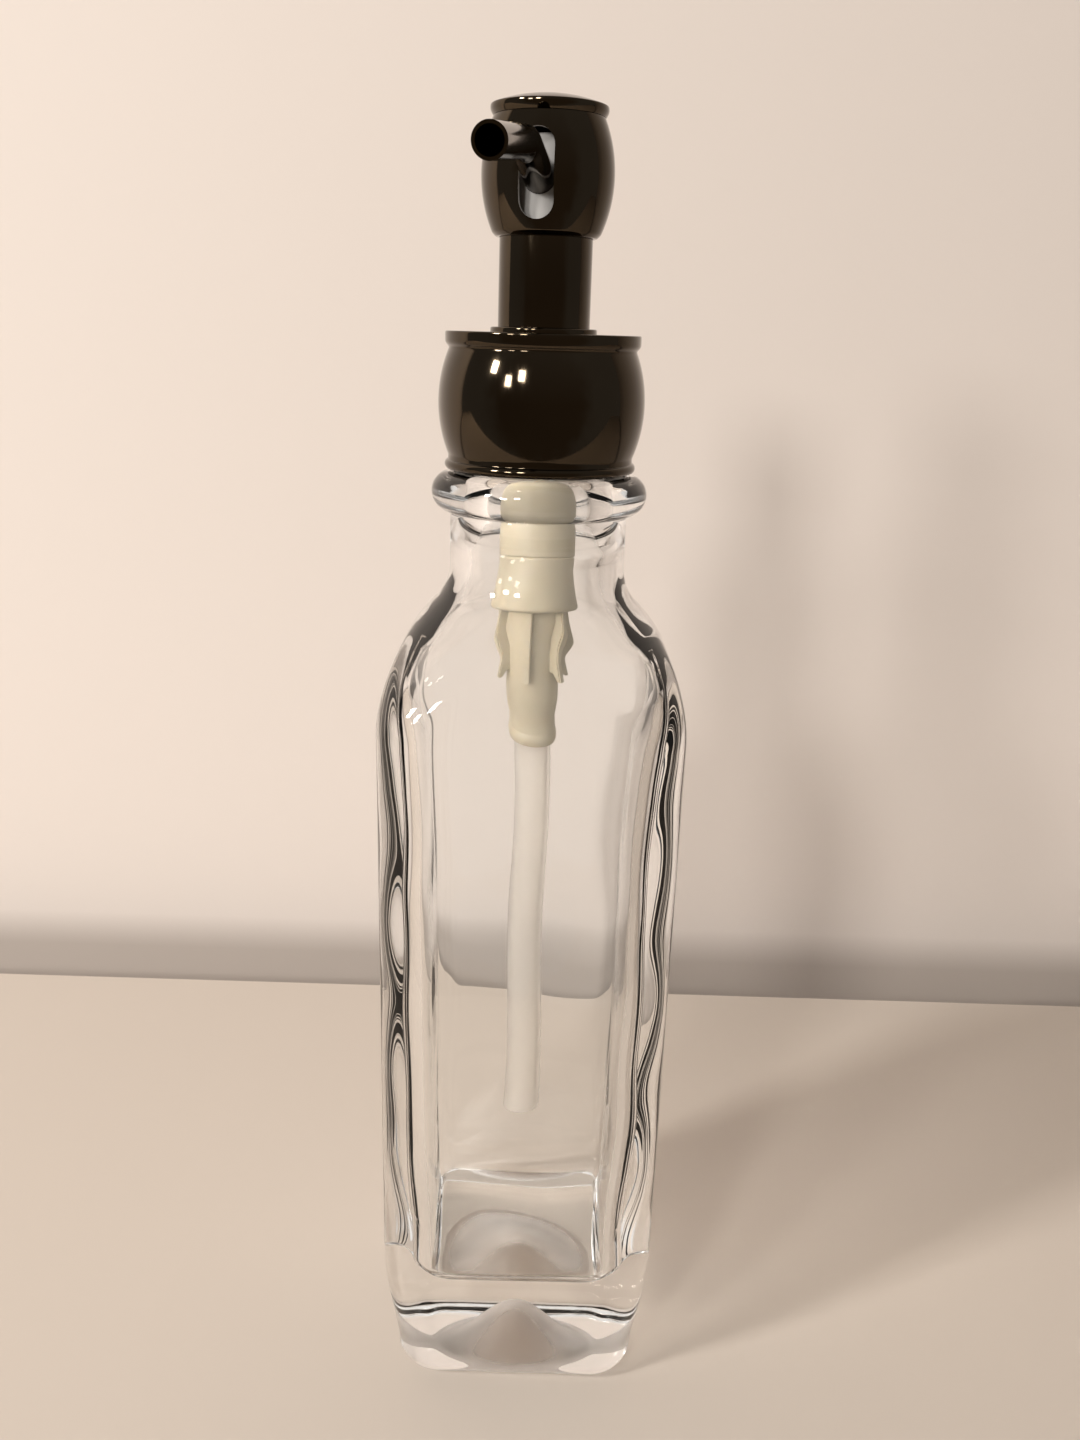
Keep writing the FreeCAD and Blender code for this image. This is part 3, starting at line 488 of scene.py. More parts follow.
def eased_corner(before, corner, after, ease, steps=4):
    """Points that round a corner off over a given length of its two sides."""
    corner = Vector(corner)
    ends = []
    for neighbour in (before, after):
        side = Vector(neighbour) - corner
        ends.append(corner + side.normalized() * min(ease, EDGE_SHARE * side.length))
    points = []
    for n in range(steps + 1):
        t = n / steps
        points.append(tuple(ends[0] * (1 - t) ** 2 + corner * (2 * t * (1 - t)) + ends[1] * t ** 2))
    return points


def outline(stops, closed=True, steps=20):
    """Points of an outline. A stop is a radius and a height, with a third number to round it off. One that
    starts with the word past bends the line to the next stop into an arc through it."""
    points = []
    for number, stop in enumerate(stops):
        if stop[0] == "past":
            following = stops[(number + 1) % len(stops)]
            points += [(r, z, 0) for r, z in arc_points(points[-1][:2], stop[1:], following[:2], steps)]
        else:
            points.append((*stop, 0)[:3])
    rows = []
    for number, (radius, height, ease) in enumerate(points):
        if ease:
            before = points[number - 1][:2]
            after = points[(number + 1) % len(points)][:2]
            rows += eased_corner(before, (radius, height), after, ease)
        else:
            rows.append((radius, height))
    return rows + rows[:1] if closed else rows


def rows_mesh(name, rows):
    """Outline rows as mesh points, with the square column's sizes beside them. A row has a radius and a
    height, and may go on with a half side, a corner radius and a wave, all in millimetres."""
    round_row = (0.0, 0.0, FAR, 0.0, 0.0)
    full = [(*row, *round_row[len(row):]) for row in rows]
    mesh = bpy.data.meshes.new(name)
    mesh.from_pydata([(row[0] * MM, 0, row[1] * MM) for row in full], [], [])
    for index, column in ((2, "half_side"), (3, "corner"), (4, "wave")):
        attribute = mesh.attributes.new(column, "FLOAT", "POINT")
        attribute.data.foreach_set("value", [row[index] * MM for row in full])
    return mesh


def turned(name, rows, material, around=160, crease=0.7):
    """A piece turned from outline rows."""
    settings = {"Around": around, "Crease": crease, "Wave Length": WAVE_LENGTH * MM, "Material": material}
    return grown(name, rows_mesh(name + "_rows", rows), TURNED_WALL, settings)


def place(piece, body, slot, *nodes):
    """Let a piece ride on its body and hide the nodes that it stands for. Its slot is not used."""
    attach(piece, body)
    if nodes:
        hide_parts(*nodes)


def spread(low, high, steps):
    """Evenly spaced numbers from low to high, with both ends."""
    return [low + (high - low) * n / steps for n in range(steps + 1)]


# Finishes. Paired shades are the ends of a faint unevenness.
GLASS_CLEAR = (0.985, 0.992, 0.992)
# Punt tint: painted shade, the dark of the shadowed table seen through the glass's matt underside.
PUNT_PAINTED_SHADE = (0.5, 0.44, 0.39)
GLASS_SHADOW = (0.32, 0.31, 0.3)
GLASS_IOR = 1.44
PUNT_ROUGHNESS = 0.55
METAL_SHADES = ((0.056, 0.043, 0.029), (0.068, 0.053, 0.036))
METAL_ROUGHNESS = (0.05, 0.09)
CREAM_SHADES = ((0.44, 0.38, 0.275), (0.49, 0.425, 0.315))
CREAM_GLOW = (1.2, 0.9, 0.6)
# White plastic held grey: painted shade of the recess in the head where it sits, with a faint unevenness
# between the pair.
WHITE_WITH_PAINTED_SHADE = ((0.33, 0.32, 0.31), (0.38, 0.37, 0.36))
TUBE_SHADES = ((0.93, 0.9, 0.86), (0.97, 0.94, 0.9))
FOAM_SHADES = ((0.74, 0.74, 0.72), (0.8, 0.8, 0.78))
BALL_SHADES = ((0.6, 0.6, 0.61), (0.7, 0.7, 0.71))
SPRING_SHADES = ((0.5, 0.5, 0.51), (0.7, 0.7, 0.71))
RAMP_ENDS = (0.3, 0.7)


def material_tree(name):
    """A new material with its tree and its Principled shader."""
    material = bpy.data.materials.new(name)
    material.use_nodes = True
    tree = material.node_tree
    return material, tree, tree.nodes["Principled BSDF"]


def object_spot(tree):
    """Coordinates of a point, fixed to the piece."""
    spot = add_node(tree, "ShaderNodeSeparateXYZ")
    feed(tree, spot.inputs[0], add_node(tree, "ShaderNodeTexCoord").outputs["Object"])
    return spot.outputs


def object_noise(tree, scale, detail=3.0, stretch=(1, 1, 1)):
    """A noise pattern fixed to the piece, from 0 to 1."""
    mapping = add_node(tree, "ShaderNodeMapping")
    mapping.inputs["Scale"].default_value = stretch
    feed(tree, mapping.inputs["Vector"], add_node(tree, "ShaderNodeTexCoord").outputs["Object"])
    noise = add_node(tree, "ShaderNodeTexNoise")
    feed(tree, noise.inputs["Vector"], mapping.outputs[0])
    feed(tree, noise.inputs["Scale"], scale)
    feed(tree, noise.inputs["Detail"], detail)
    return noise.outputs[0]


def between(tree, share, low, high):
    """A number or colour between two, by a pattern's share."""
    ramp = add_node(tree, "ShaderNodeValToRGB")
    feed(tree, ramp.inputs[0], share)
    for element, shade, position in zip(ramp.color_ramp.elements, (low, high), RAMP_ENDS):
        element.color = (*shade, 1) if isinstance(shade, tuple) else (shade, shade, shade, 1)
        element.position = position
    return ramp.outputs[0]


def bump(tree, height, strength, distance):
    """A surface direction roughened by a pattern."""
    node = add_node(tree, "ShaderNodeBump")
    feed(tree, node.inputs["Height"], height)
    node.inputs["Strength"].default_value = strength
    node.inputs["Distance"].default_value = distance
    return node.outputs[0]


def smooth_share(tree, source, start, end):
    """A share that rises smoothly from 0 to 1 between two values."""
    node = add_node(tree, "ShaderNodeMapRange", interpolation_type="SMOOTHSTEP")
    feed(tree, node.inputs["Value"], source)
    feed(tree, node.inputs["From Min"], start)
    feed(tree, node.inputs["From Max"], end)
    return node.outputs[0]


def let_through(tree, shader, share, tint):
    """Make a finish clear, with a tint, for the rays that a share picks out."""
    clear = add_node(tree, "ShaderNodeBsdfTransparent")
    clear.inputs[0].default_value = (*tint, 1)
    mix = add_node(tree, "ShaderNodeMixShader")
    feed(tree, mix.inputs[0], share)
    feed(tree, mix.inputs[1], shader.outputs[0])
    feed(tree, mix.inputs[2], clear.outputs[0])
    feed(tree, tree.nodes["Material Output"].inputs["Surface"], mix.outputs[0])


def clear_glass():
    """Clear pressed glass with faint ripples and a matt punt underneath, tinted taupe there as painted shade
    of the shadowed table below it. Lamps shine through it.
    """
    material, tree, shader = material_tree("clear_glass")
    shader.inputs["IOR"].default_value = GLASS_IOR
    shader.inputs["Transmission Weight"].default_value = 1.0
    ripples = object_noise(tree, scale=90.0, detail=1.0)
    feed(tree, shader.inputs["Normal"], bump(tree, ripples, strength=0.06, distance=0.4 * MM))
    spot = object_spot(tree)
    reach = calc(tree, "SQRT", calc(tree, "ADD", calc(tree, "POWER", spot["X"], 2.0),
                                    calc(tree, "POWER", spot["Y"], 2.0)))
    under = calc(tree, "MULTIPLY", calc(tree, "LESS_THAN", reach, PUNT_RADIUS * MM),
                 calc(tree, "LESS_THAN", spot["Z"], (PUNT_HEIGHT + PUNT_MARGIN) * MM))
    # The punt's taupe colour is painted shade; only its roughness is the glass's own.
    feed(tree, shader.inputs["Base Color"], between(tree, under, GLASS_CLEAR, PUNT_PAINTED_SHADE))
    feed(tree, shader.inputs["Roughness"], calc(tree, "MULTIPLY", under, PUNT_ROUGHNESS))
    lamp_ray = add_node(tree, "ShaderNodeLightPath").outputs["Is Shadow Ray"]
    let_through(tree, shader, lamp_ray, GLASS_SHADOW)
    return material


def gunmetal():
    """Dark polished plating, warm and mirror-like, with faint rubbing marks."""
    material, tree, shader = material_tree("gunmetal")
    feed(tree, shader.inputs["Base Color"], between(tree, object_noise(tree, scale=60.0), *METAL_SHADES))
    shader.inputs["Metallic"].default_value = 1.0
    marks = object_noise(tree, scale=900.0, detail=4.0, stretch=(1, 1, 0.2))
    feed(tree, shader.inputs["Roughness"], between(tree, marks, *METAL_ROUGHNESS))
    return material


def moulded(name, shades, roughness, grain=500.0, uneven=0.05):
    """Moulded plastic with slightly uneven colour and a fine skin."""
    material, tree, shader = material_tree(name)
    feed(tree, shader.inputs["Base Color"], between(tree, object_noise(tree, scale=120.0), *shades))
    gloss = between(tree, object_noise(tree, grain), roughness - uneven, roughness + uneven)
    feed(tree, shader.inputs["Roughness"], gloss)
    skin = object_noise(tree, 2 * grain)
    feed(tree, shader.inputs["Normal"], bump(tree, skin, strength=0.08, distance=0.05 * MM))
    return material, shader


def milky_tube():
    """Soft milky tube that lets some light through."""
    material, shader = moulded("tube_plastic", TUBE_SHADES, roughness=0.45)
    shader.inputs["Transmission Weight"].default_value = 0.85
    shader.inputs["IOR"].default_value = 1.1
    return material


def cream_plastic():
    """Cream moulded plastic with a soft glow at its edges."""
    material, shader = moulded("cream_plastic", CREAM_SHADES, roughness=0.38)
    shader.inputs["Subsurface Weight"].default_value = 0.2
    shader.inputs["Subsurface Radius"].default_value = [depth * MM for depth in CREAM_GLOW]
    return material


def steel(name, shades, roughness, uneven=0.08):
    """Bare steel with fine drawing marks."""
    material, tree, shader = material_tree(name)
    feed(tree, shader.inputs["Base Color"], between(tree, object_noise(tree, scale=200.0), *shades))
    shader.inputs["Metallic"].default_value = 1.0
    marks = object_noise(tree, scale=1200.0)
    feed(tree, shader.inputs["Roughness"], between(tree, marks, roughness, roughness + uneven))
    return material


GLASS = clear_glass()
METAL = gunmetal()
CREAM = cream_plastic()
# White parts take a darkened grey, painted shade of the slot they sit in.
WHITE = moulded("white_plastic", WHITE_WITH_PAINTED_SHADE, roughness=0.35)[0]
MILKY = milky_tube()
BALL_STEEL = steel("ball_steel", BALL_SHADES, roughness=0.1)
SPRING_STEEL = steel("spring_steel", SPRING_SHADES, roughness=0.2)
FOAM = moulded("gasket_foam", FOAM_SHADES, roughness=0.8)[0]


def eased(share):
    """A share from 0 to 1 that starts and ends gently."""
    return (1 - math.cos(math.pi * share)) / 2


def column_half(height):
    """Half side of the square column at a height, with the foot drawn in along a soft curve."""
    if height < FOOT_HEIGHT:
        return FOOT_HALF + (BODY_HALF - FOOT_HALF) * eased(height / FOOT_HEIGHT)
    return BODY_HALF + (COLUMN_TOP_HALF - BODY_HALF) * (height - FOOT_HEIGHT) / (SHOULDER_FOOT - FOOT_HEIGHT)


def shoulder_rise(half, arc, hollow, top_radius):
    """Height of a shoulder whose round arc runs into a hollow one that ends upright at the neck."""
    return math.sqrt((arc + hollow) ** 2 - (top_radius + hollow - half + arc) ** 2)


def shoulder_rows(half, corner, foot, arc, hollow, top_radius, wave):
    """A domed shoulder that draws in from a rounded square to a round neck."""
    rise = shoulder_rise(half, arc, hollow, top_radius)
    rows = []
    for share in spread(0.0, 1.0, SHOULDER_STEPS):
        height = rise * share
        if share < arc / (arc + hollow):
            width = half - arc + math.sqrt(arc ** 2 - height ** 2)
        else:
            width = top_radius + hollow - math.sqrt(hollow ** 2 - (rise - height) ** 2)
        rows.append((FAR, foot + height, width, corner + (width - corner) * eased(share), wave))
    return rows


def base_rows():
    """Underside: the punt from its top outwards, and the heel."""
    rows = []
    for radius in spread(0.0, PUNT_RADIUS, PUNT_STEPS):
        rows.append((radius, PUNT_HEIGHT * (1 - eased(radius / PUNT_RADIUS))))
    for turn in spread(0.0, TURN / 4, HEEL_STEPS):
        height = HEEL * (1 - math.cos(turn))
        half = column_half(HEEL) - HEEL * (1 - math.sin(turn))
        rows.append((FAR, height, half, CORNER - HEEL * (1 - math.sin(turn))))
    return rows


def outside_rows():
    """Outside of the column and shoulder, from the heel to the neck's ring and mouth."""
    foot_end = FOOT_HEIGHT + FOOT_OVERRUN
    rows = []
    for height in spread(HEEL + HEEL_STEP, foot_end, FOOT_STEPS):
        rows.append((FAR, height, column_half(height), CORNER))
    for height in spread(foot_end + 2 * ROW_STEP, SHOULDER_FOOT - ROW_STEP, COLUMN_STEPS):
        rows.append((FAR, height, column_half(height), CORNER))
    rows += shoulder_rows(COLUMN_TOP_HALF, CORNER, SHOULDER_FOOT, SHOULDER_ARC, NECK_HOLLOW, NECK_RADIUS, 0.0)
    ring_foot = RING_HEIGHT - RING_HALF
    ring_top = RING_HEIGHT + RING_HALF
    rows += outline([
        (NECK_RADIUS, rows[-1][1]),
        (NECK_RADIUS, ring_foot, RING_EDGE),
        ("past", RING_RADIUS, RING_HEIGHT),
        (NECK_RADIUS, ring_top, FULL_EDGE),
        (FINISH_RADIUS, ring_top, WIDE_EDGE),
        (FINISH_RADIUS, BOTTLE_TOP, MOUTH_EDGE),
        (MOUTH_RADIUS, BOTTLE_TOP, MOUTH_EDGE),
        (MOUTH_RADIUS, ring_foot, THROAT_EDGE),
    ], False)[1:]
    return rows


def inside_rows():
    """Cavity from the neck down to the middle of the floor."""
    shoulder = shoulder_rows(CAVITY_TOP_HALF, INNER_CORNER, INNER_SHOULDER_FOOT, INNER_SHOULDER_ARC,
                             INNER_NECK_HOLLOW, INNER_NECK_RADIUS, WALL_WAVE)
    ring_foot = RING_HEIGHT - RING_HALF
    rows = outline([
        (MOUTH_RADIUS, ring_foot),
        (INNER_NECK_RADIUS, ring_foot - THROAT_DROP, INNER_NECK_EDGE),
        (INNER_NECK_RADIUS, shoulder[-1][1]),
    ], False)[1:-1]
    rows += reversed(shoulder)
    floor_top = FLOOR_HEIGHT + FLOOR_ROUND
    for height in spread(INNER_SHOULDER_FOOT - ROW_STEP, floor_top + ROW_STEP, CAVITY_STEPS):
        share = (height - floor_top) / (INNER_SHOULDER_FOOT - floor_top)
        half = FLOOR_HALF + (CAVITY_TOP_HALF - FLOOR_HALF) * share
        rows.append((FAR, height, half, INNER_CORNER, WALL_WAVE))
    for turn in spread(0.0, TURN / 4, FLOOR_ROUND_STEPS):
        half = FLOOR_HALF - FLOOR_ROUND * (1 - math.cos(turn))
        height = FLOOR_HEIGHT + FLOOR_ROUND * (1 - math.sin(turn))
        rows.append((FAR, height, half, INNER_CORNER * half / FLOOR_HALF, WALL_WAVE * math.cos(turn)))
    for half in spread(FLOOR_HALF - FLOOR_ROUND, 0.0, FLOOR_STEPS)[1:]:
        rows.append((FAR, FLOOR_HEIGHT, half, INNER_CORNER * half / FLOOR_HALF))
    return rows


def glass_bottle():
    """Bottle of one closed wall, outside and cavity."""
    rows = base_rows() + outside_rows() + inside_rows()
    bottle = turned("bottle_glass", rows, GLASS, around=256, crease=1.2)
    place(bottle, "bottle", "clear_glass", "glass_bottle")


def collar():
    """Barrel collar with a flange, a bead at its foot and a turned-in top."""
    neck_foot = COLLAR_FOOT + COLLAR_BEAD_HEIGHT + COLLAR_COVE
    neck_top = COLLAR_TOP - COLLAR_FLANGE_THICKNESS - COLLAR_COVE
    belly = (neck_foot + neck_top) / 2 + COLLAR_BELLY_LIFT
    rows = outline([
        (COLLAR_SEAT, COLLAR_FOOT),
        (COLLAR_BEAD - COLLAR_BEAD_REACH, COLLAR_FOOT, FINE_EDGE),
        ("past", COLLAR_BEAD, COLLAR_FOOT + COLLAR_BEAD_HEIGHT / 2),
        (COLLAR_BEAD - COLLAR_BEAD_REACH, COLLAR_FOOT + COLLAR_BEAD_HEIGHT, FINE_EDGE),
        (COLLAR_NECK, neck_foot, FULL_EDGE),
        ("past", COLLAR_BELLY, belly),
        (COLLAR_NECK, neck_top, FULL_EDGE),
        (COLLAR_FLANGE, COLLAR_TOP - COLLAR_FLANGE_THICKNESS, WIDE_EDGE),
        (COLLAR_FLANGE, COLLAR_TOP, FLANGE_EDGE),
        (GUIDE_BODY + PLAY, COLLAR_TOP),
        (GUIDE_BODY + PLAY, COLLAR_TOP - COLLAR_WALL),
        (COLLAR_SEAT, COLLAR_TOP - COLLAR_WALL),
        (COLLAR_SEAT, neck_top),
        ("past", COLLAR_BELLY - COLLAR_WALL, belly),
        (COLLAR_SEAT, neck_foot),
    ], steps=40)
    place(turned("collar", rows, METAL, around=200), "closure", "gunmetal", "collar_shell")
    top = COLLAR_TOP + GUIDE_FLANGE_THICKNESS
    rows = outline([
        (GUIDE_BORE, GUIDE_FOOT),
        (GUIDE_BODY, GUIDE_FOOT, FINE_EDGE),
        (GUIDE_BODY, COLLAR_TOP),
        (GUIDE_FLANGE, COLLAR_TOP),
        (GUIDE_FLANGE, top, FLANGE_EDGE),
        (GUIDE_BORE, top, FINE_EDGE),
    ])
    place(turned("guide", rows, METAL), "closure", "gunmetal", "guide_ring")


def sleeve():
    """Straight stem sleeve."""
    inner = SLEEVE_RADIUS - SLEEVE_WALL
    rows = outline([
        (inner, SLEEVE_FOOT),
        (SLEEVE_RADIUS, SLEEVE_FOOT, FINE_EDGE),
        (SLEEVE_RADIUS, SLEEVE_TOP, FINE_EDGE),
        (inner, SLEEVE_TOP),
    ])
    place(turned("sleeve", rows, METAL), "head", "gunmetal", "stem_sleeve")


def prism(first, second, turn):
    """A closed solid between two rings of points in millimetres, turned about the upright axis."""
    solid = bmesh.new()
    rings = [[solid.verts.new(Vector(spot) * MM) for spot in ring] for ring in (first, second)]
    solid.faces.new(rings[0])
    solid.faces.new(reversed(rings[1]))
    for n in range(len(first)):
        following = (n + 1) % len(first)
        solid.faces.new((rings[0][n], rings[1][n], rings[1][following], rings[0][following]))
    bmesh.ops.recalc_face_normals(solid, faces=solid.faces)
    bmesh.ops.transform(solid, matrix=Matrix.Rotation(turn, 4, "Z"), verts=solid.verts)
    return solid


def plain_mesh(name, solid):
    """A mesh with the shape of a finished solid."""
    mesh = bpy.data.meshes.new(name)
    solid.to_mesh(mesh)
    solid.free()
    return mesh


def slot_cutter():
    """Upright prism with round ends that cuts the spout's slot through the front of the head."""
    low = HEAD_FOOT + SLOT_FOOT + SLOT_HALF
    high = HEAD_FOOT + SLOT_FOOT + SLOT_HEIGHT - SLOT_HALF
    rings = []
    for depth in (-SLOT_START, -HEAD_BELLY - SLOT_PAST):
        ring = []
        for level, first in ((high, 0.0), (low, TURN / 2)):
            for angle in spread(first, first + TURN / 2, SLOT_STEPS):
                ring.append((SLOT_HALF * math.cos(angle), depth, level + SLOT_HALF * math.sin(angle)))
        rings.append(ring)
    cutter = bpy.data.objects.new("slot_cutter", plain_mesh("slot_cutter", prism(*rings, SPOUT_AZIMUTH)))
    bpy.context.scene.collection.objects.link(cutter)
    return cutter


def cut(piece, cutter):
    """Take the cutter's shape out of a piece."""
    modifier = piece.modifiers.new("cut", "BOOLEAN")
    modifier.object = cutter
    modifier.solver = "EXACT"
    graph = bpy.context.evaluated_depsgraph_get()
    mesh = bpy.data.meshes.new_from_object(piece.evaluated_get(graph))
    piece.modifiers.clear()
    piece.data = mesh
    bpy.data.objects.remove(cutter)


def head():
    """Barrel head with its slot, and the domed cap with a flared rim."""
    belly = HEAD_FOOT + HEAD_BELLY_HEIGHT
    inner_foot = HEAD_FOOT + HEAD_WALL
    rows = outline([
        (SLEEVE_RADIUS + PLAY, HEAD_FOOT),
        (HEAD_FOOT_RADIUS - HEAD_BEVEL, HEAD_FOOT, SOFT_EDGE),
        (HEAD_FOOT_RADIUS, HEAD_FOOT + HEAD_BEVEL, SOFT_EDGE),
        ("past", HEAD_BELLY, belly),
        (HEAD_TOP_RADIUS, HEAD_TOP),
        (HEAD_TOP_RADIUS - HEAD_WALL, HEAD_TOP),
        ("past", HEAD_BELLY - HEAD_WALL, belly),
        (HEAD_FOOT_RADIUS - HEAD_WALL, inner_foot),
        (SLEEVE_RADIUS + PLAY, inner_foot),
    ], steps=48)
    shell = turned("head_barrel", rows, METAL, around=240)
    cut(shell, slot_cutter())
    place(shell, "head", "gunmetal", "head_shell")

    rim_top = HEAD_TOP + RIM_HEIGHT
    spigot = HEAD_TOP_RADIUS - HEAD_WALL - PLAY
    rise = DOME_TOP - rim_top
    ball = (RIM_RADIUS ** 2 + rise ** 2) / (2 * rise)
    half_way = math.asin(RIM_RADIUS / ball) / 2
    rows = outline([
        (0.0, HEAD_TOP - CAP_SPIGOT),
        (spigot, HEAD_TOP - CAP_SPIGOT, SOFT_EDGE),
        (spigot, HEAD_TOP),
        (HEAD_TOP_RADIUS, HEAD_TOP, FINE_EDGE),
        (RIM_RADIUS, HEAD_TOP + RIM_HEIGHT / 2, WIDE_EDGE),
        (RIM_RADIUS, rim_top, FULL_EDGE),
        ("past", ball * math.sin(half_way), DOME_TOP - ball * (1 - math.cos(half_way))),
        (0.0, DOME_TOP),
    ], closed=False, steps=24)
    place(turned("head_dome", rows, METAL, around=200), "head", "gunmetal", "head_cap")


def spout():
    """Bent spout with an open mouth."""
    turn = Matrix.Rotation(SPOUT_AZIMUTH, 3, "Z")
    curve = bpy.data.curves.new("spout_route", "CURVE")
    curve.dimensions = "3D"
    spline = curve.splines.new("POLY")
    spline.points.add(2)
    for point, (reach, height) in zip(spline.points, (SPOUT_ROOT, SPOUT_BEND, SPOUT_MOUTH)):
        spot = turn @ Vector((0, -reach, HEAD_FOOT + height)) * MM
        point.co = (*spot, 1)
    settings = {"Bend Radius": SPOUT_BEND_RADIUS * MM, "Radius": SPOUT_RADIUS * MM, "Bore": SPOUT_BORE * MM,
                "Steps": SPOUT_STEPS, "Around": SPOUT_AROUND, "Material": METAL}
    place(grown("spout", curve, BENT_PIPE, settings), "head", "gunmetal", "spout_tube")


def pump_housing():
    """Cream housing with a grooved barrel, a flared skirt and a socket for the tube."""
    flare_top = SKIRT_FOOT + SKIRT_FLARE
    groove = flare_top + GROOVE_LIFT + GROOVE_HALF
    flange_foot = HOUSING_TOP - HOUSING_FLANGE_THICKNESS
    bore_floor = SKIRT_FOOT + BORE_FLOOR_LIFT
    rows = outline([
        (TUBE_RADIUS + PLAY, SOCKET_FOOT),
        (SOCKET_WAIST, SOCKET_FOOT, FINE_EDGE),
        ("past", SOCKET_WAIST + SOCKET_SWELL, SOCKET_FOOT + SOCKET_LIP / 2),
        (SOCKET_WAIST, SOCKET_FOOT + SOCKET_LIP, FINE_EDGE),
        (SOCKET_WAIST, SOCKET_FOOT + 2 * SOCKET_LIP),
        ("past", (CORE_RADIUS + SOCKET_WAIST) / 2 + CORE_SWELL, (FIN_FOOT + SOCKET_FOOT) / 2),
        (CORE_RADIUS, FIN_FOOT),
        (CORE_RADIUS, SKIRT_FOOT, SOFT_EDGE),
        (SKIRT_RADIUS, SKIRT_FOOT, SKIRT_ROUND),
        (HOUSING_RADIUS, flare_top, FLARE_EDGE),
        (HOUSING_RADIUS, groove - GROOVE_HALF, HAIR_EDGE),
        (HOUSING_RADIUS - GROOVE_DEPTH, groove, HAIR_EDGE),
        (HOUSING_RADIUS, groove + GROOVE_HALF, HAIR_EDGE),
        (HOUSING_RADIUS, flange_foot, SOFT_EDGE),
        (HOUSING_FLANGE, flange_foot, FINE_EDGE),
        (HOUSING_FLANGE, HOUSING_TOP, SOFT_EDGE),
        (HOUSING_BORE, HOUSING_TOP),
        (HOUSING_BORE, bore_floor),
        (TUBE_RADIUS + PLAY, bore_floor),
    ])
    place(turned("housing", rows, CREAM, around=96), "pump", "cream_plastic", "pump_housing")


def housing_fins():
    """Fins under the housing's skirt, with flared feet that hang a little lower than the core's step."""
    half = FIN_THICKNESS / 2
    side = [
        (CORE_RADIUS - FIN_SINK, FIN_FOOT),
        (CORE_RADIUS + FIN_SINK, FIN_FOOT),
        (FIN_REACH, FIN_FOOT - FIN_HANG),
        (FIN_REACH + FIN_FLARE, FIN_FOOT - FIN_HANG),
        (FIN_REACH, FIN_FOOT + 3 * FIN_FLARE),
        (FIN_REACH, SKIRT_FOOT + FIN_SINK),
        (CORE_RADIUS - FIN_SINK, SKIRT_FOOT + FIN_SINK),
    ]
    walls = [[(reach, across, height) for reach, height in side] for across in (half, -half)]
    fin = prism(*walls, FIN_TURN)
    bmesh.ops.bevel(fin, geom=fin.edges, offset=FIN_BEVEL * MM, segments=2, affect="EDGES")
    settings = {"Count": FIN_COUNT, "Material": CREAM}
    fins = grown("housing_fins", plain_mesh("fin_seed", fin), RING_OF_COPIES, settings)
    place(fins, "pump", "cream_plastic")


def dip_tube():
    """Milky tube with its square-cut end."""
    inner = TUBE_RADIUS - TUBE_WALL
    rows = outline([
        (inner, TUBE_FOOT),
        (TUBE_RADIUS, TUBE_FOOT, HAIR_EDGE),
        (TUBE_RADIUS, TUBE_TOP),
        (inner, TUBE_TOP),
    ])
    place(turned("tube", rows, MILKY, around=64), "pump", "tube_plastic", "dip_tube")


def return_spring():
    """Steel coil that shortens as the pump is pressed."""
    low = SPRING_FOOT + SPRING_WIRE / 2
    rise = SPRING_TOP - SPRING_FOOT - SPRING_WIRE
    settings = {"Turns": SPRING_TURNS, "Radius": SPRING_RADIUS * MM, "Rise": rise * MM, "Foot": low * MM,
                "Wire": SPRING_WIRE / 2 * MM, "Material": SPRING_STEEL}
    coil = grown("spring", bpy.data.meshes.new("coil_seed"), COIL, settings)
    place(coil, "pump", "spring_steel", "return_spring")
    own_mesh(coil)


def dress_nodes():
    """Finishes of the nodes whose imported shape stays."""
    finishes = {
        "closure_cap": WHITE, "plunger_stem": WHITE, "piston": WHITE, "actuator": WHITE,
        "chaplet": CREAM, "neck_gasket": FOAM, "inlet_ball": BALL_STEEL, "outlet_ball": BALL_STEEL,
    }
    for name, material in finishes.items():
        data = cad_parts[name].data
        data.materials.clear()
        data.materials.append(material)


# Stage
STAGE_HALF = 1600
STAGE_ROUGHNESS = 0.9
STAGE_SPECULAR = 0.1
FLOOR_BACK = 146.0
FLOOR_FRONT = 190.0
FLOOR_SHADE = (0.61, 0.54, 0.475)
WALL_GAP = 30.0
GAP_DEPTH = 120.0
# Gap colour: painted shade, the dark of the gap behind the table, on the gap boards and at the foot of the
# wall.
GAP_PAINTED_SHADE = (0.48, 0.42, 0.375)
WALL_FOOT = -400
WALL_TOP = 1800
# Heights between which the wall's painted shadow fades in, darker downwards towards the gap.
PAINTED_SHADE_FOOT = -20.0
PAINTED_SHADE_TOP = 26.0
WALL_SHADE = (0.72, 0.65, 0.6)
ROOM_FRONT = (0.16, 0.12, 0.085)
ROOM_SIDES = (0.24, 0.225, 0.21)
ROOM_CEILING = (0.25, 0.235, 0.22)
ROOM_THROUGH = (0.85, 0.81, 0.77)
ROOM_PATCHES = 3.0
ROOM_UNEVEN = 0.5
ROOM_FRONT_END = -0.5
ROOM_SIDE_START = -0.15
CEILING_EASE = 0.2
TABLE_DROP = 0.15
# Each lamp: degrees to the left of the front, degrees above level, and power.
LAMP_PLACES = ((58, 28, 15.0), (38, 20, 6.0), (23, 25, 8.0))
LAMP_SIZE = (170, 220)
LAMP_DISTANCE = 1500
LAMP_TINT = (1.0, 0.965, 0.92)
MIDDLE_HEIGHT = 120
CAMERA_PLACE = (1.5, -246.4, 212.0)
CAMERA_PITCH = math.radians(16.66)
CAMERA_ROLL = math.radians(1.75)
CAMERA_LENS = 32.5
CAMERA_SENSOR = 36
CAMERA_CLIP = 10


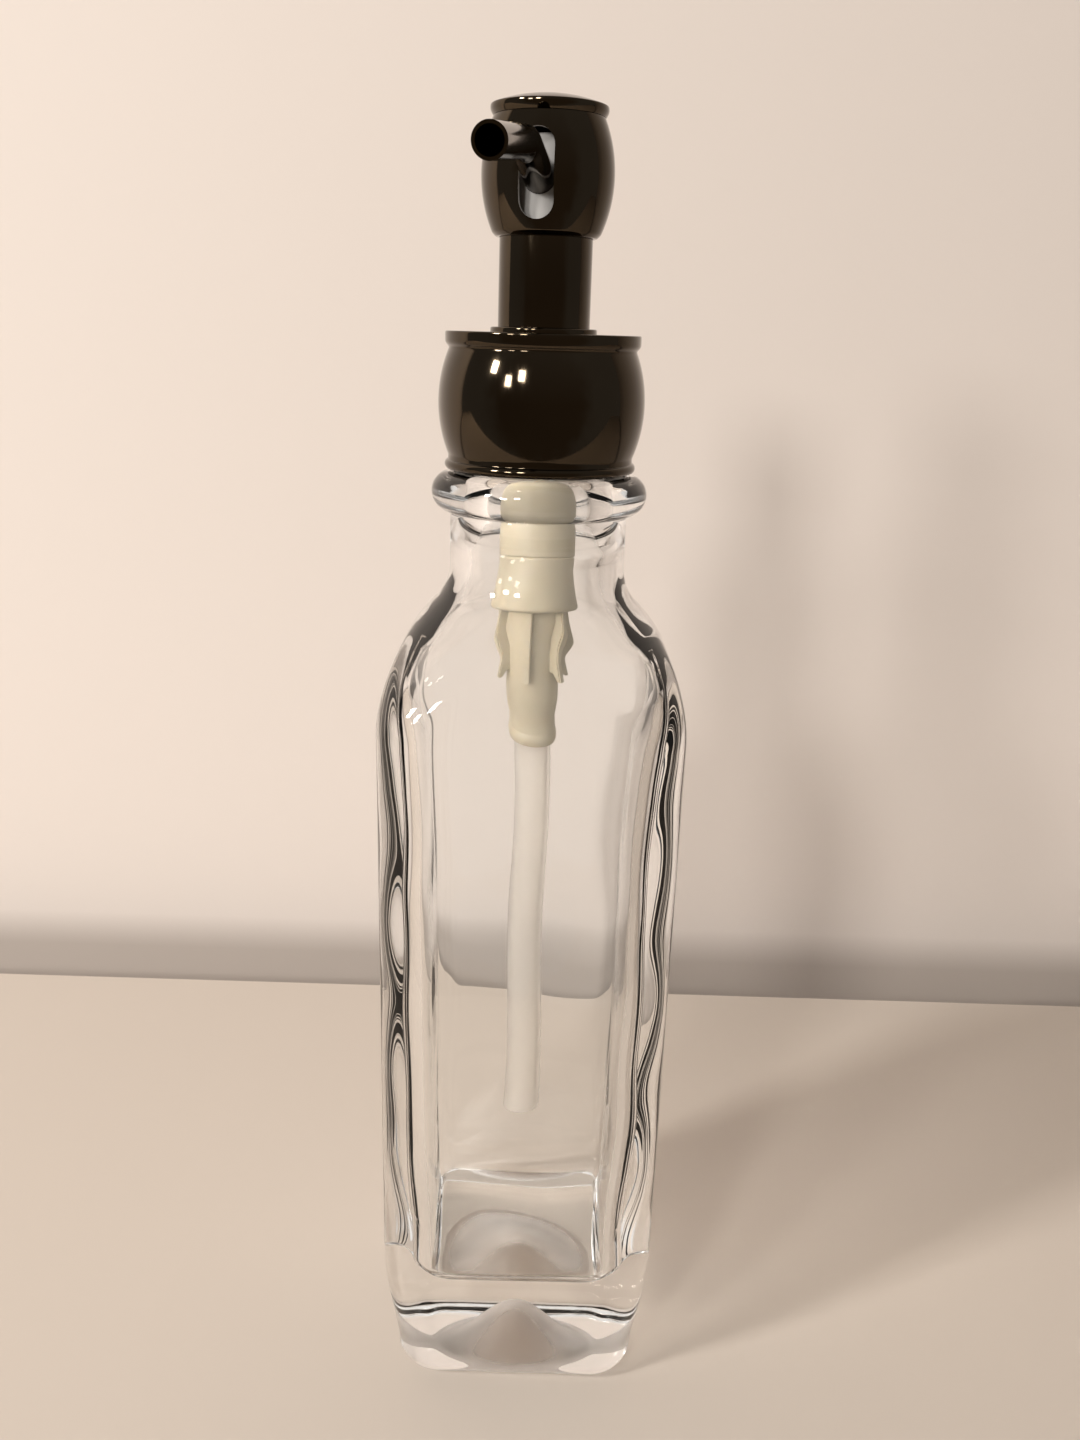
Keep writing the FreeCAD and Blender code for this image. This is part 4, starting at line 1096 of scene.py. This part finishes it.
def matt(name):
    """A matt finish for the stage, with its shader."""
    material, tree, shader = material_tree(name)
    shader.inputs["Roughness"].default_value = STAGE_ROUGHNESS
    shader.inputs["Specular IOR Level"].default_value = STAGE_SPECULAR
    return material, shader


def plain(name, shade):
    """A matt finish of one shade."""
    material, shader = matt(name)
    shader.inputs["Base Color"].default_value = (*shade, 1)
    return material


def shaded_wall():
    """Plain wall with a painted shadow that darkens it softly towards the gap behind the table, and clear
    from its back.
    """
    material, shader = matt("backdrop")
    tree = material.node_tree
    # Painted shadow: the wall's colour darkens with height towards the gap.
    rise = smooth_share(tree, object_spot(tree)["Z"], PAINTED_SHADE_FOOT * MM, PAINTED_SHADE_TOP * MM)
    feed(tree, shader.inputs["Base Color"], between(tree, rise, GAP_PAINTED_SHADE, WALL_SHADE))
    from_behind = add_node(tree, "ShaderNodeNewGeometry").outputs["Backfacing"]
    let_through(tree, shader, from_behind, (1, 1, 1))
    return material


def board(name, near, far, material):
    """A flat stage piece across the whole view, between two edges given by their depth and height."""
    corners = [(-STAGE_HALF, *near), (STAGE_HALF, *near), (STAGE_HALF, *far), (-STAGE_HALF, *far)]
    mesh = bpy.data.meshes.new(name)
    mesh.from_pydata([Vector(corner) * MM for corner in corners], [], [tuple(range(len(corners)))])
    mesh.materials.append(material)
    piece = bpy.data.objects.new(name, mesh)
    bpy.context.scene.collection.objects.link(piece)


def around_object(left, above, distance):
    """A place around the object, by degrees to the left of the front, degrees above level, and a distance."""
    turn, lift = math.radians(left), math.radians(above)
    level = distance * math.cos(lift)
    return (-level * math.sin(turn), -level * math.cos(turn), MIDDLE_HEIGHT + distance * math.sin(lift))


def lamp(name, place_mm, target_mm, size_mm, power, tint):
    """A soft oblong lamp that points at a target."""
    light = bpy.data.lights.new(name, "AREA")
    light.shape = "RECTANGLE"
    light.size, light.size_y = (side * MM for side in size_mm)
    light.energy = power
    light.color = tint
    piece = bpy.data.objects.new(name, light)
    piece.location = Vector(place_mm) * MM
    piece.rotation_euler = (Vector(target_mm) - Vector(place_mm)).to_track_quat("-Z", "Y").to_euler()
    bpy.context.scene.collection.objects.link(piece)


def room_light():
    """World light: a pale, patchy room with a dim part in front of the object, paler through the glass."""
    world = bpy.data.worlds.new("room")
    bpy.context.scene.world = world
    world.use_nodes = True
    tree = world.node_tree
    generated = add_node(tree, "ShaderNodeTexCoord").outputs["Generated"]
    way = add_node(tree, "ShaderNodeSeparateXYZ")
    feed(tree, way.inputs[0], generated)
    patches = add_node(tree, "ShaderNodeTexNoise")
    feed(tree, patches.inputs["Vector"], generated)
    feed(tree, patches.inputs["Scale"], ROOM_PATCHES)
    uneven = calc(tree, "MULTIPLY_ADD", patches.outputs[0], ROOM_UNEVEN, way.outputs["Y"])
    turned_away = smooth_share(tree, uneven, ROOM_FRONT_END, ROOM_SIDE_START)

    def mixed(share, first, second):
        blend = add_node(tree, "ShaderNodeMix", data_type="RGBA")
        feed(tree, blend.inputs["Factor"], share)
        for socket, shade in ((blend.inputs[6], first), (blend.inputs[7], second)):
            if isinstance(shade, tuple):
                socket.default_value = (*shade, 1)
            else:
                feed(tree, socket, shade)
        return blend.outputs[2]

    level = mixed(turned_away, ROOM_FRONT, ROOM_SIDES)
    room = mixed(calc(tree, "SMOOTH_MIN", way.outputs["Z"], 1.0, CEILING_EASE), level, ROOM_CEILING)
    seen_through = add_node(tree, "ShaderNodeLightPath").outputs["Is Transmission Ray"]
    feed(tree, tree.nodes["Background"].inputs["Color"], mixed(seen_through, room, ROOM_THROUGH))


def photo_camera():
    """Camera that looks down on the bottle from close by, a little off level."""
    camera = bpy.data.cameras.new("camera")
    camera.lens = CAMERA_LENS
    camera.sensor_width = CAMERA_SENSOR
    camera.clip_start = CAMERA_CLIP * MM
    piece = bpy.data.objects.new("camera", camera)
    piece.location = Vector(CAMERA_PLACE) * MM
    look = Matrix.Rotation(TURN / 4 - CAMERA_PITCH, 4, "X") @ Matrix.Rotation(CAMERA_ROLL, 4, "Z")
    piece.rotation_euler = look.to_euler()
    bpy.context.scene.collection.objects.link(piece)
    bpy.context.scene.camera = piece


def stage():
    """Pale table, plain wall behind it, lamps and camera."""
    wall_depth = FLOOR_BACK + WALL_GAP
    # The gap boards are coloured with painted shade, standing in for the dark of the gap.
    gap = plain("gap", GAP_PAINTED_SHADE)
    board("floor", (-FLOOR_FRONT, -TABLE_DROP), (FLOOR_BACK, -TABLE_DROP), plain("floor", FLOOR_SHADE))
    board("backdrop", (wall_depth, WALL_FOOT), (wall_depth, WALL_TOP), shaded_wall())
    board("gap_side", (FLOOR_BACK, 0), (FLOOR_BACK, -GAP_DEPTH), gap)
    board("gap_foot", (FLOOR_BACK, -GAP_DEPTH), (wall_depth, -GAP_DEPTH), gap)
    for number, (left, above, power) in enumerate(LAMP_PLACES):
        spot = around_object(left, above, LAMP_DISTANCE)
        lamp(f"lamp_{number}", spot, (0, 0, MIDDLE_HEIGHT), LAMP_SIZE, power, LAMP_TINT)
    room_light()
    photo_camera()
    bpy.context.scene.view_settings.view_transform = "Standard"


glass_bottle()
collar()
sleeve()
head()
spout()
pump_housing()
housing_fins()
dip_tube()
return_spring()
dress_nodes()
stage()
